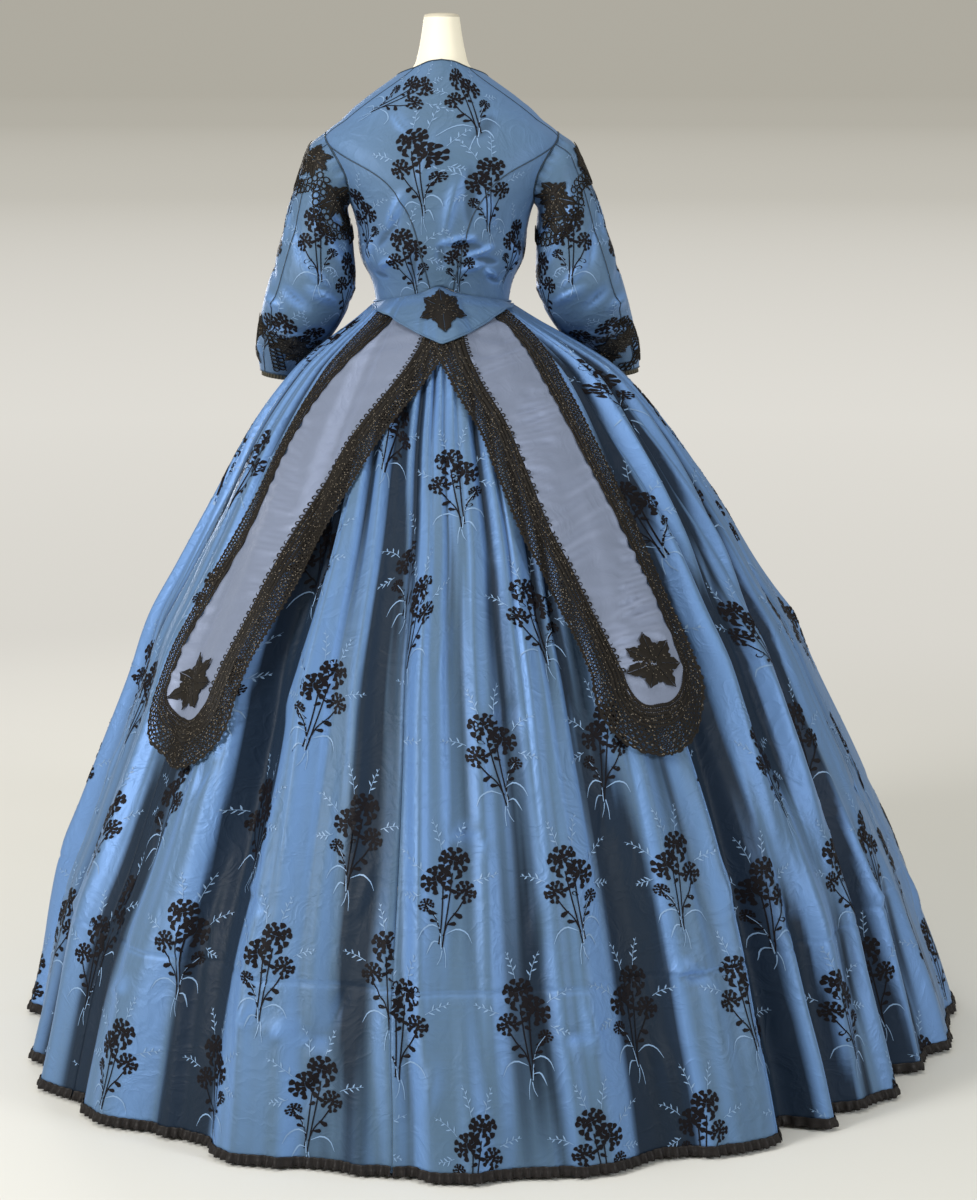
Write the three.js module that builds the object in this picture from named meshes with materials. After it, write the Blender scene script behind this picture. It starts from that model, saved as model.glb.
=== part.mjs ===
// A day dress of the 1860s on a limbless dress form. Millimetres, +Z up.
// The dress faces -Y, so its back is towards +Y and the wearer's left is +X.
// The origin is on the floor, at the middle of the form's base plate.
//
// Every cloth surface is a function of (angle, height): the angle is in degrees round the
// body from +X (the wearer's left side), 90 at the centre back and 270 at the centre front.
import * as THREE from "three";

// ---- driving dimensions ----------------------------------------------------------------
const CLOTH = 1.2;            // wall of the silk
const LACE = 1.0;             // wall of the lace
const SEAM = 0.3;             // clearance between neighbouring pieces at a seam
const HEM_Z = 9;              // lower edge of the skirt above the floor
const RUFFLE_HEIGHT = 19;
const RUFFLE_BOTTOM = 5;
const RUFFLE_REACH = 3.2;     // how far the box pleats of the ruffle stand out
const RUFFLE_ROOM = 1.2;      // between the ruffle and the skirt
const RUFFLE_END = 2;         // how far each length of ruffle stops short of its gore's seam
const PIPING_RADIUS = 1.4;
const WAIST_GAP = 0.8;        // between the bodice and the skirt, under the piping
const BUTTON_RADIUS = 6.5;
const BUTTON_HEIGHT = 5;
const BUTTON_SEAT = 0.3;      // from the fronts to the button's flat back
const BUTTONS = 7;
const BASE_RADIUS = 230;
const BASE_HEIGHT = 14;
const POLE_RADIUS = 19;
const FORM_BOTTOM = 862;
const NECK_TOP = 1437;

// ---- small helpers ----------------------------------------------------------------------
const rad = (deg) => (deg * Math.PI) / 180;
const mix = (a, b, t) => a + (b - a) * t;
const clamp = (t, low = 0, high = 1) => Math.min(high, Math.max(low, t));
const smooth = (t) => { const s = clamp(t); return s * s * (3 - 2 * s); };
const range = (count) => Array.from({ length: count }, (_, i) => i);
const wrap = (deg) => ((deg + 540) % 360) - 180;

// Reads column `name` of a table at `x`, with a smooth curve through the rows.
function read(table, key, name, x) {
  const rows = table.rows;
  const k = table.columns.indexOf(key);
  const c = table.columns.indexOf(name);
  const rising = rows[rows.length - 1][k] > rows[0][k];
  const at = (i) => rows[Math.min(rows.length - 1, Math.max(0, i))];
  let i = rows.findIndex((row, n) => n > 0 && (rising ? x <= row[k] : x >= row[k]));
  if (i < 0) i = rows.length - 1;
  const [p0, p1, p2, p3] = [at(i - 2), at(i - 1), at(i), at(i + 1)];
  const t = clamp((x - p1[k]) / (p2[k] - p1[k]));
  const slope = (a, b, d) => (b[k] === a[k] ? 0 : ((b[c] - a[c]) / (b[k] - a[k])) * d);
  const width = p2[k] - p1[k];
  const m1 = slope(p0, p2, width);
  const m2 = slope(p1, p3, width);
  const t2 = t * t;
  const t3 = t2 * t;
  return (2 * t3 - 3 * t2 + 1) * p1[c] + (t3 - 2 * t2 + t) * m1
    + (3 * t2 - 2 * t3) * p2[c] + (t3 - t2) * m2;
}

// ---- the general figure: outer face of the bodice, and above and below it the form ---------
// half: half width; back, front: depth behind and before the body's axis; power: squareness
const TORSO = {
  columns: ["z", "half", "back", "front", "power"],
  rows: [
    [862, 136, 122, 108, 2.0],
    [890, 137, 124, 110, 2.0],
    [925, 131, 120, 108, 2.0],
    [960, 117, 109, 101, 2.0],
    [990, 103, 97, 92, 2.0],
    [1015, 95, 89, 85, 2.0],
    [1035, 95, 89, 84, 2.0],
    [1067, 101, 96, 94, 2.0],
    [1099, 116, 106, 110, 2.1],
    [1144, 122, 112, 128, 2.2],
    [1176, 131, 115, 132, 2.3],
    [1215, 151, 114, 126, 2.4],
    [1245, 166, 106, 112, 2.4],
    [1270, 169, 94, 93, 2.3],
    [1295, 140, 82, 77, 2.2],
    [1325, 99, 68, 65, 2.1],
    [1350, 64, 56, 56, 2.0],
    [1368, 43, 47, 49, 2.0],
    [1385, 37, 41, 42, 2.0],
    [1410, 32, 35, 36, 2.0],
    [1437, 28, 31, 31, 2.0],
  ],
};

function torso(phi, z) {
  const power = 2 / read(TORSO, "z", "power", z);
  const c = Math.cos(rad(phi));
  const s = Math.sin(rad(phi));
  const depth = read(TORSO, "z", s > 0 ? "back" : "front", z);
  return new THREE.Vector3(
    read(TORSO, "z", "half", z) * Math.sign(c) * Math.abs(c) ** power,
    depth * Math.sign(s) * Math.abs(s) ** power,
    z,
  );
}

// ---- the skirt's rings ---------------------------------------------------------------------
// middle: x of the ring's centre; half: half width; back, front: reach from the body's axis
const SKIRT = {
  columns: ["z", "middle", "half", "back", "front"],
  rows: [
    [HEM_Z, -68, 666, 757, 603],
    [85, -65, 645, 748, 597],
    [165, -59, 621, 730, 583],
    [250, -55, 594, 704, 562],
    [310, -54, 568, 683, 545],
    [400, -51, 530, 647, 512],
    [500, -46, 486, 598, 470],
    [590, -41, 450, 546, 425],
    [660, -38, 409, 500, 385],
    [750, -36, 360, 430, 325],
    [870, -25, 287, 318, 235],
    [945, -20, 225, 225, 170],
    [980, -13, 178, 175, 135],
    [1009, -6, 132, 128, 105],
    [1034, 0, 97, 92, 87],
  ],
};

// Height of the waist seam: it rises to a small peak at the centre back.
const WAIST = {
  columns: ["phi", "z"],
  rows: [
    [-90, 1026], [-45, 1029], [0, 1035], [45, 1043], [74, 1053], [88, 1062],
    [102, 1053], [135, 1043], [180, 1035], [225, 1029], [270, 1026],
  ],
};
const WAIST_LEVEL = 1034;      // the top row of the skirt's rings
const LIFT_FROM = 880;         // above this the rings bend up to the waist seam, over LIFT_OVER
const LIFT_OVER = 150;
const waistZ = (phi) => read(WAIST, "phi", "z", wrap(phi - 90) + 90);

// The largest folds. Each runs from the waist to the hem along phi; its rise is outward in mm
// (a valley is negative), and left and right are its half widths in degrees.
const FOLDS = {
  columns: ["name", "high", "mid", "low", "riseHigh", "riseMid", "riseLow", "left", "right"],
  rows: [
    ["left side valley", 12, 9, 8, -8, -20, -40, 9, 9],
    ["left corner crest", 26, 27, 31, 8, 14, 26, 8, 6],
    ["left outer crest", 47, 49, 43, 14, 22, 30, 8, 6],
    ["left wedge valley", 59, 55, 54, -10, -34, -8, 5, 5],
    ["left inner crest", 66, 63, 62, 6, 24, 26, 5, 8],
    ["centre seam crest", 85, 82.5, 84, 9, 16, 16, 2.6, 9],
    ["small back crest", 92, 96, 98, 9, 5, -8, 4, 5],
    ["back right valley", 112, 112, 112, -4, -8, -34, 9, 9],
    ["right tab valley", 136, 129.5, 128, -14, -26, -50, 6, 5],
    ["right first crest", 143, 136, 136, 14, 14, -36, 5, 5],
    ["right strong crest", 156, 147, 142, 18, 24, -26, 5, 4],
    ["right navy valley", 161.5, 153, 151, -14, -30, -70, 5, 5],
    ["far right crest", 166, 163, 159, 6, 10, -26, 6, 6],
    ["right side crest", 184, 184, 184, 2, 14, 22, 8, 8],
    ["right side valley", 199, 199, 199, -8, -22, -24, 7, 7],
    ["front right crest", 226, 226, 226, 2, 18, 22, 9, 7],
    ["front right valley", 243, 243, 243, -8, -20, -20, 6, 7],
    ["front crest", 273, 273, 273, 7, 14, 20, 9, 10],
    ["front valley", 291, 291, 291, -6, -18, -20, 7, 7],
    ["front left crest", 316, 316, 316, 2, 18, 24, 8, 9],
    ["front left valley", 334, 334, 334, -8, -20, -22, 7, 7],
    ["left side crest", 355, 355, 355, 2, 12, 12, 8, 8],
  ],
};
const FOLD_HIGH = 900;
const FOLD_MID = 550;
const FOLD_CARRY = 1.35;       // how far a fold's line runs on above the high level
const FOLD_FADE = 110;         // the folds die away over this height below the waist

const folds = FOLDS.rows.map((row) =>
  Object.fromEntries(row.map((v, i) => [FOLDS.columns[i], v])));

// Blends a fold's three values down the skirt.
function down(high, mid, low, z) {
  if (z >= FOLD_MID) {
    return mix(mid, high, clamp((z - FOLD_MID) / (FOLD_HIGH - FOLD_MID), 0, FOLD_CARRY));
  }
  return mix(low, mid, smooth((z - HEM_Z) / (FOLD_MID - HEM_Z)));
}
const foldPhi = (fold, z) => down(fold.high, fold.mid, fold.low, z);

function foldRise(phi, z) {
  const start = smooth((waistZ(phi) - z) / FOLD_FADE);
  let rise = 0;
  for (const fold of folds) {
    const away = wrap(phi - foldPhi(fold, z));
    const t = away / (away < 0 ? fold.left : fold.right);
    if (Math.abs(t) >= 1) continue;
    rise += down(fold.riseHigh, fold.riseMid, fold.riseLow, z) * (1 - t * t) ** 2;
  }
  return rise * start;
}

// A point of the skirt's outer face, moved out by `out` along the ring.
function skirt(phi, z, out = 0) {
  const lift = (waistZ(phi) - WAIST_LEVEL) * smooth((z - LIFT_FROM) / LIFT_OVER);
  const level = Math.max(HEM_Z, z - lift);
  const back = read(SKIRT, "z", "back", level);
  const front = read(SKIRT, "z", "front", level);
  const half = read(SKIRT, "z", "half", level) + out;
  const depth = (back + front) / 2 + out;
  return new THREE.Vector3(
    read(SKIRT, "z", "middle", level) + half * Math.cos(rad(phi)),
    (back - front) / 2 + depth * Math.sin(rad(phi)),
    z,
  );
}
const folded = (phi, z) => skirt(phi, z, foldRise(phi, z));

// ---- solids ----------------------------------------------------------------------------------
const positions = (points) =>
  new THREE.Float32BufferAttribute(points.flatMap((p) => [p.x, p.y, p.z]), 3);

// A closed body from its points and triangles, turned so that its faces point out.
function solid(points, triangles) {
  const volume = triangles.reduce((sum, [a, b, c]) =>
    sum + points[a].dot(points[b].clone().cross(points[c])), 0);
  const geometry = new THREE.BufferGeometry();
  geometry.setAttribute("position", positions(points));
  geometry.setIndex(triangles.flatMap(([a, b, c]) => (volume < 0 ? [a, c, b] : [a, b, c])));
  geometry.computeVertexNormals();
  return geometry;
}

// Closes a grid of outer points and the grid of inner points behind it into one wall.
// grid[row][column], rows running up and columns running anticlockwise seen from above.
function wall(outer, inner, closed = false) {
  const rows = outer.length;
  const columns = outer[0].length;
  const cells = closed ? columns : columns - 1;
  const points = [...outer.flat(), ...inner.flat()];
  const half = rows * columns;
  const id = (side, r, c) => side * half + r * columns + (c % columns);
  const triangles = [];
  const quad = (a, b, c, d) => triangles.push([a, b, c], [a, c, d]);
  for (const r of range(rows - 1)) {
    for (const c of range(cells)) {
      quad(id(0, r, c), id(0, r, c + 1), id(0, r + 1, c + 1), id(0, r + 1, c));
      quad(id(1, r, c), id(1, r + 1, c), id(1, r + 1, c + 1), id(1, r, c + 1));
    }
  }
  for (const c of range(cells)) {
    quad(id(1, 0, c), id(1, 0, c + 1), id(0, 0, c + 1), id(0, 0, c));
    quad(id(0, rows - 1, c), id(0, rows - 1, c + 1), id(1, rows - 1, c + 1), id(1, rows - 1, c));
  }
  if (!closed) {
    for (const r of range(rows - 1)) {
      quad(id(0, r, 0), id(0, r + 1, 0), id(1, r + 1, 0), id(1, r, 0));
      const end = columns - 1;
      quad(id(1, r, end), id(1, r + 1, end), id(0, r + 1, end), id(0, r, end));
    }
  }
  return solid(points, triangles);
}

// The outward normal of a surface f(phi, z) there, from its slopes.
function normal(f, phi, z, dPhi = 0.4, dZ = 0.4) {
  const across = f(phi + dPhi, z).sub(f(phi - dPhi, z));
  const up = f(phi, z + dZ).sub(f(phi, z - dZ));
  return across.cross(up).normalize();
}

// A wall whose outer face is the surface f at the grid's (phi, z) pairs, `lift` above it.
function cloth(f, grid, thickness = CLOTH, lift = 0) {
  const side = (out) => grid.map((row) => row.map(([phi, z]) =>
    f(phi, z).addScaledVector(normal(f, phi, z), out)));
  return wall(side(lift), side(lift - thickness));
}

const meshes = [];
const material = (color, roughness, metalness = 0) =>
  new THREE.MeshStandardMaterial({ color, roughness, metalness });
const FINISH = {
  silk: () => material(0x5a82b4, 0.4),
  plainSilk: () => material(0x9aa3c4, 0.45),
  lace: () => material(0x1a1614, 0.7),
  ribbon: () => material(0x1c1918, 0.45),
  form: () => material(0xe8e0cf, 0.6),
  stand: () => material(0x4a3b30, 0.5),
};

function add(name, finish, geometry) {
  const mesh = new THREE.Mesh(geometry, FINISH[finish]());
  mesh.name = name;
  meshes.push(mesh);
}

// Mirrors a geometry to the wearer's other side.
function mirrored(geometry) {
  const copy = geometry.clone();
  copy.applyMatrix4(new THREE.Matrix4().makeScale(-1, 1, 1));
  const index = copy.getIndex();
  const flipped = [];
  for (let i = 0; i < index.count; i += 3) {
    flipped.push(index.getX(i), index.getX(i + 2), index.getX(i + 1));
  }
  copy.setIndex(flipped);
  copy.computeVertexNormals();
  return copy;
}

// ---- bodice ------------------------------------------------------------------------------------
// A seam is a list of (phi, z) points that both of its panels share.
const along = (from, to, count) => range(count + 1).map((i) => [
  mix(from[0], to[0], i / count), mix(from[1], to[1], i / count)]);
function through(points, count) {
  const curve = new THREE.CatmullRomCurve3(points.map(([x, y]) => new THREE.Vector3(x, y, 0)));
  return range(count + 1).map((i) => curve.getPoint(i / count)).map((p) => [p.x, p.y]);
}

const ARMSCYE = { z: 1226, halfHeight: 50, halfAngle: 31 };
const armscye = (turn) => [
  ARMSCYE.halfAngle * Math.sin(rad(turn)),
  ARMSCYE.z + ARMSCYE.halfHeight * Math.cos(rad(turn))];
const arc = (from, to, count) => range(count + 1).map((i) => armscye(mix(from, to, i / count)));

const SHOULDER_TURN = 28;      // where the shoulder seam meets the armscye
const BACK_SEAM_TURN = 50;     // where the curved back seam meets it
const NECK_SIDE = [38, 1366];
const NECK_BACK = 1377;
const NECK_FRONT = 1336;

const PANEL_ROWS = 8;
const sideSeam = through([[12, waistZ(12)], [9, 1085], [4, 1130], armscye(180)], PANEL_ROWS);
const backSeam = through(
  [[80.5, waistZ(80.5)], [76.5, 1119], [70, 1175], [58, 1218], armscye(BACK_SEAM_TURN)], PANEL_ROWS);
const shoulderSeam = along(armscye(SHOULDER_TURN), NECK_SIDE, 3);
const waistLine = (from, to, count) => range(count + 1).map((i) => {
  const phi = mix(from, to, i / count);
  return [phi, waistZ(phi)];
});
const otherSide = (points) => points.map(([phi, z]) => [180 - phi, z]);

// Fills the space between four edges that meet at their ends.
function fill(bottom, top, left, right) {
  const nu = bottom.length - 1;
  const nv = left.length - 1;
  return range(nv + 1).map((j) => range(nu + 1).map((i) => {
    const u = i / nu;
    const v = j / nv;
    return [0, 1].map((k) => mix(bottom[i][k], top[i][k], v) + mix(left[j][k], right[j][k], u)
      - mix(mix(bottom[0][k], bottom[nu][k], u), mix(top[0][k], top[nu][k], u), v));
  }));
}

// Draws a panel's grid in from all its edges by half the seam clearance.
function drawIn(f, grid) {
  const last = grid.length - 1;
  const end = grid[0].length - 1;
  const shift = (a, b) => {
    const t = (SEAM / 2) / f(...a).distanceTo(f(...b));
    return [mix(a[0], b[0], t), mix(a[1], b[1], t)];
  };
  const across = grid.map((row) => row.map((p, i) =>
    (i === 0 ? shift(p, row[1]) : i === end ? shift(p, row[end - 1]) : p)));
  return across.map((row, j) => row.map((p, i) =>
    (j === 0 ? shift(p, across[1][i]) : j === last ? shift(p, across[last - 1][i]) : p)));
}
const bodicePanel = (grid) => cloth(torso, drawIn(torso, grid));

const backLeftEdge = [...backSeam, ...arc(BACK_SEAM_TURN, SHOULDER_TURN, 1).slice(1)];
const neckBack = through(
  [NECK_SIDE, [62, 1374], [90, NECK_BACK], [118, 1374], [180 - NECK_SIDE[0], NECK_SIDE[1]]], 4);
const backTop = [
  ...shoulderSeam, ...neckBack.slice(1), ...otherSide(shoulderSeam).reverse().slice(1)];
add("bodice_centre_back", "silk", bodicePanel(fill(
  waistLine(80.5, 99.5, backTop.length - 1), backTop, backLeftEdge, otherSide(backLeftEdge))));

const sideBack = bodicePanel(fill(
  waistLine(12, 80.5, 5), arc(180, BACK_SEAM_TURN, 5), sideSeam, backSeam));
add("bodice_side_back_left", "silk", sideBack);
add("bodice_side_back_right", "silk", mirrored(sideBack));

const neckFront = through([[-90, NECK_FRONT], [-50, 1342], [-8, 1354], NECK_SIDE], 4);
const frontTop = [...neckFront, ...[...shoulderSeam].reverse().slice(1)];
const frontSide = [...sideSeam, ...arc(180, 360 + SHOULDER_TURN, 6).slice(1)];
const front = bodicePanel(fill(waistLine(-90, 12, frontTop.length - 1), frontTop,
  along([-90, waistZ(-90)], [-90, NECK_FRONT], frontSide.length - 1), frontSide));
add("bodice_front_left", "silk", front);
add("bodice_front_right", "silk", mirrored(front));

// Covered buttons down the centre front, each a low dome that rests on the middle of one of the
// fronts' flat rows, on every second row.
const buttonProfile = [[0, 0], [0.82, 0], [1, 0.3], [0.86, 0.72], [0.45, 0.96], [0, 1]].map(
  ([r, h]) => new THREE.Vector2(r * BUTTON_RADIUS, h * BUTTON_HEIGHT));
const frontRows = frontSide.length - 1;
const onCentreFront = (row) => torso(-90, mix(waistZ(-90), NECK_FRONT, row / frontRows));
for (const i of range(BUTTONS)) {
  const below = onCentreFront(2 * i + 1);
  const above = onCentreFront(2 * i + 2);
  const up = above.clone().sub(below).normalize();
  const out = new THREE.Vector3(1, 0, 0).cross(up);
  const button = new THREE.LatheGeometry(buttonProfile, 12);
  button.applyQuaternion(new THREE.Quaternion().setFromUnitVectors(new THREE.Vector3(0, 1, 0), out));
  const seat = below.lerp(above, 0.5).addScaledVector(out, BUTTON_SEAT);
  button.translate(seat.x, seat.y, seat.z);
  add(`button_${i + 1}`, "silk", button);
}

// ---- skirt ----------------------------------------------------------------------------------------
const GORE = 45;
const CENTRE_SEAM = 79.5;      // the seam that shows beside the centre back
const GORES = ["back_left", "back_right", "side_back_right", "side_right", "front_right", "front",
  "front_left", "side_left"];
const SKIRT_LEVELS = [
  HEM_Z, RUFFLE_BOTTOM + RUFFLE_HEIGHT, 110, 210, 320, 430, 540, 650, 760, 860, 940, 992];
const TOP_COLUMNS_Z = 1000;    // the height that places the columns of the waist row
const COLUMN = 5.6;            // about how many degrees lie between columns
const PLEAT = 2.2;             // how far the small waist pleats stand in and out
const PLEAT_LENGTH = 130;
const FOLD_CLEAR = 1.2;        // a fold closer than this to a gore's seam gets no column of its own

// The columns of a gore follow the folds, so that crests and valleys stay sharp.
function goreColumns(from) {
  const to = from + GORE;
  const unwrap = (phi) => from + ((((phi - from) % 360) + 360) % 360);
  const within = (phi) => unwrap(phi) > from + FOLD_CLEAR && unwrap(phi) < to - FOLD_CLEAR;
  const inside = folds.filter((f) => [f.high, f.mid, f.low].every(within))
    .sort((a, b) => unwrap(a.mid) - unwrap(b.mid));
  const knots = (z) => [from, ...inside.map((f) => unwrap(foldPhi(f, z))), to];
  const middle = knots(FOLD_MID);
  const parts = middle.slice(1).map((phi, i) => Math.max(1, Math.round((phi - middle[i]) / COLUMN)));
  return (z) => {
    const at = knots(z);
    const columns = parts.flatMap((n, i) => range(n).map((k) => mix(at[i], at[i + 1], k / n)));
    return [...columns, to];
  };
}

function gore(from) {
  const columns = goreColumns(from);
  const rows = SKIRT_LEVELS.map((z) => columns(z).map((phi) => [phi, z]));
  const top = columns(TOP_COLUMNS_Z).map((phi) => [phi, waistZ(phi) - WAIST_GAP]);
  const grid = drawIn(folded, [...rows, top]);
  const side = (out) => grid.map((row) => row.map(([phi, z], i) => {
    const parity = i === 0 || i === row.length - 1 ? 0 : i % 2 ? 1 : -1;
    const pleat = parity * PLEAT * smooth(1 - (waistZ(phi) - z) / PLEAT_LENGTH);
    return folded(phi, z).addScaledVector(normal(folded, phi, z), out + pleat);
  }));
  return { outer: side(0), inner: side(-CLOTH) };
}

// The ruffle lies on the gore's own points, and its box pleats stand out between them.
function ruffle(skirtPart) {
  const up = new THREE.Vector3(0, 0, 1);
  const line = [0, 1].map((r) => skirtPart.outer[r]);
  const spots = range(2 * line[0].length - 1);
  const away = spots.map((i) => {
    const a = line[0][Math.max(0, Math.ceil(i / 2) - 1)];
    const b = line[0][Math.min(line[0].length - 1, Math.floor(i / 2) + 1)];
    return b.clone().sub(a).cross(up).normalize();
  });
  const at = (row, i, out) => {
    const a = line[row][Math.floor(i / 2)];
    const b = line[row][Math.ceil(i / 2)];
    const p = a.clone().lerp(b, 0.5);
    if (i === 0) p.lerp(line[row][1], RUFFLE_END / p.distanceTo(line[row][1]));
    if (i === spots.length - 1) {
      p.lerp(line[row].at(-2), RUFFLE_END / p.distanceTo(line[row].at(-2)));
    }
    p.addScaledVector(away[i], out + (i % 2 ? RUFFLE_REACH : 0));
    p.z = row ? RUFFLE_BOTTOM + RUFFLE_HEIGHT : RUFFLE_BOTTOM;
    return p;
  };
  return wall([0, 1].map((r) => spots.map((i) => at(r, i, RUFFLE_ROOM + CLOTH))),
    [0, 1].map((r) => spots.map((i) => at(r, i, RUFFLE_ROOM))));
}

for (const [i, name] of GORES.entries()) {
  const part = gore(CENTRE_SEAM - GORE + i * GORE);
  add(`skirt_${name}`, "silk", wall(part.outer, part.inner));
  add(`hem_ruffle_${name}`, "ribbon", ruffle(part));
}

// ---- what lies on the skirt: tabs, their lace, basque ----------------------------------------------
const REACH_ACROSS = 2.4;      // degrees between the places that are looked at
const REACH_UP = 45;

// How far the folds reach out near a place, over one column and half a row each way.
function reach(phi, z) {
  let most = -Infinity;
  for (const i of [-2, -1, 0, 1, 2]) {
    for (const k of [-1, 0, 1]) {
      const beside = phi + REACH_ACROSS * i;
      most = Math.max(most, foldRise(beside, Math.min(z + REACH_UP * k, waistZ(beside) - SEAM)));
    }
  }
  return most;
}
const PLEAT_MARGIN = 1.15;
const pleatRoom = (phi, z) => PLEAT * smooth(PLEAT_MARGIN - (waistZ(phi) - z) / PLEAT_LENGTH);
const LEVEL = { leftTab: 1.0, rightTab: 5.0, basque: 8.2, star: 11.2 };
const over = (level) => (phi, z) => skirt(phi, z, reach(phi, z))
  .addScaledVector(normal(skirt, phi, z), pleatRoom(phi, z) + level + CLOTH);

// middlePhi, middleZ: the tab's centre line; halfPhi, halfZ: from there to its right-hand edge;
// motifLift: from the skirt's level to the motif, which clears the tab's flat stretches.
const TAB_COLUMNS = ["middlePhi", "middleZ", "halfPhi", "halfZ"];
const TABS = {
  left: {
    level: LEVEL.leftTab,
    rows: [
      [70, 1030, 8, -6],
      [67.5, 1003, 10.5, -10],
      [56, 922, 10, -8],
      [51.5, 868, 8.6, -4],
      [47.5, 800, 7.6, -3],
      [43.5, 710, 7.3, 0],
      [41, 618, 7, 4],
      [39.5, 548, 6.8, 5],
    ],
    end: [39.5, 500],
    motifLift: 4.7,
    innerSide: 1,
  },
  right: {
    level: LEVEL.rightTab,
    rows: [
      [106, 1032, 10, 4],
      [108, 992, 13, 8],
      [109, 946, 11, 3],
      [112.5, 897, 9, 4],
      [114.3, 842, 8.3, 5],
      [116, 775, 8, 7],
      [118, 722, 7.2, 6],
      [120.5, 655, 6.7, 5],
      [121.5, 592, 6.2, 2],
    ],
    end: [120.5, 540],
    motifLift: 2.0,
    innerSide: -1,
  },
};
const END_STEPS = 3;
const END_NARROW = 0.12;       // how much of the tab's width its pointed end keeps

// A point of a tab: side from -1 to 1 across, and row counted down its table and round its end.
function onTab(tab, side, row) {
  const last = tab.rows.length - 1;
  const k = Math.min(last - 1, Math.floor(row));
  const t = Math.min(row, last) - k;
  const [phi, z, dPhi, dZ] = TAB_COLUMNS.map((_, c) => mix(tab.rows[k][c], tab.rows[k + 1][c], t));
  const turn = (Math.max(0, row - last) / END_STEPS) * 90;
  const narrow = mix(END_NARROW, 1, Math.cos(rad(turn)));
  return [phi + side * dPhi * narrow + (tab.end[0] - phi) * Math.sin(rad(turn)),
    z + side * dZ * narrow + (tab.end[1] - z) * Math.sin(rad(turn))];
}
const tabRows = (tab) => range(tab.rows.length + END_STEPS).reverse();

// Millimetres to a degree round the skirt's ring at a height.
const ringAt = (z) => (read(SKIRT, "z", "half", z) * Math.PI) / 180;

// Moves a place on the skirt by mm across and mm along the cloth.
function moved([phi, z], across, up) {
  const slope = (read(SKIRT, "z", "half", z - 5) - read(SKIRT, "z", "half", z + 5)) / 10;
  return [phi + across / ringAt(z), z + up / Math.hypot(1, slope)];
}

// Widths of the lace beside each tab, at the start, the middle and the end of each stretch.
const LACE_WIDTH = {
  left: { inner: [26, 40, 36], end: [36, 46, 14], outer: [14, 30, 26] },
  right: { inner: [28, 38, 36], end: [36, 46, 14], outer: [14, 24, 28] },
};
const LACE_BELOW_WAIST = 6;

// The lace border of a tab, from the tab's edge outwards, down its inner side, round its end
// and up its outer side, cut into three stretches.
function laceBorder(tab, widths) {
  const last = tab.rows.length - 1;
  const rows = range(last + END_STEPS + 1);
  const downward = rows.map((row) => [tab.innerSide, row]);
  const spots = [...downward, ...rows.reverse().map((row) => [-tab.innerSide, row])];
  const edge = spots.map(([side, row]) => onTab(tab, side, row));
  const strip = spots.map(([, row], i) => {
    const [phi, z] = edge[i];
    const before = edge[Math.max(0, i - 1)];
    const after = edge[Math.min(edge.length - 1, i + 1)];
    const ring = ringAt(z);
    const out = new THREE.Vector2(after[1] - before[1], (before[0] - after[0]) * ring).normalize();
    const centre = onTab(tab, 0, Math.min(row, last));
    if (out.x * (phi - centre[0]) * ring + out.y * (z - centre[1]) < 0) out.negate();
    const width = widthAt(widths, i, last, spots.length);
    return [0, 0.5, 1].map((k) => {
      const to = moved([phi, z], out.x * (SEAM + width * k), out.y * (SEAM + width * k));
      return [to[0], Math.min(to[1], waistZ(to[0]) - LACE_BELOW_WAIST)];
    });
  });
  return {
    inner: strip.slice(0, last + 1),
    end: strip.slice(last, strip.length - last),
    outer: strip.slice(strip.length - 1 - last),
  };
}

// The border's width at spot i: each stretch has its widths at its start, middle and end.
function widthAt(widths, i, last, count) {
  const at = ([start, middle, end], t) =>
    (t < 0.5 ? mix(start, middle, 2 * t) : mix(middle, end, 2 * t - 1));
  if (i <= last) return at(widths.inner, i / last);
  if (i >= count - 1 - last) return at(widths.outer, (i - (count - 1 - last)) / last);
  return at(widths.end, (i - last) / (count - 1 - 2 * last));
}

// A flat motif with a lobed outline, on surface f round a place; radius is a function of the
// turn in degrees, 0 to the side and 90 upwards.
function motif(f, [phi, z], radius, ring, slant, thickness = LACE) {
  const cells = 6;
  const grid = range(cells + 1).map((j) => range(cells + 1).map((i) => {
    const [a, b] = [(2 * i) / cells - 1, (2 * j) / cells - 1];
    const distance = Math.max(Math.abs(a), Math.abs(b));
    const turn = Math.atan2(b, a);
    const r = distance * radius((turn * 180) / Math.PI);
    return [phi + (r * Math.cos(turn)) / ring, z + (r * Math.sin(turn)) / slant];
  }));
  return cloth(f, grid, thickness);
}
const leafy = (tips, small, large) => (turn) =>
  mix(small, large, (1 + Math.cos(rad(turn * tips))) / 2);
const TAB_SLANT = 1.35;        // length of cloth to a unit of height, at the tabs' ends
const STAR_SLANT = 1.3;
const STAR_RING = rad(96);

for (const [name, tab] of Object.entries(TABS)) {
  const grid = tabRows(tab).map((row) => range(5).map((i) => onTab(tab, (i - 2) / 2, row)));
  add(`tab_${name}`, "plainSilk", cloth(over(tab.level), grid));
  for (const [stretch, strip] of Object.entries(laceBorder(tab, LACE_WIDTH[name]))) {
    const surface = over(tab.level);
    add(`tab_lace_${name}_${stretch}`, "lace", cloth(surface, drawIn(surface, strip), LACE));
  }
  const place = onTab(tab, 0, tab.rows.length - 1);
  add(`tab_motif_${name}`, "lace", motif(over(tab.level + tab.motifLift),
    [place[0], place[1] + 4], leafy(8, 20, 34), ringAt(place[1]), TAB_SLANT));
}

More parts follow.
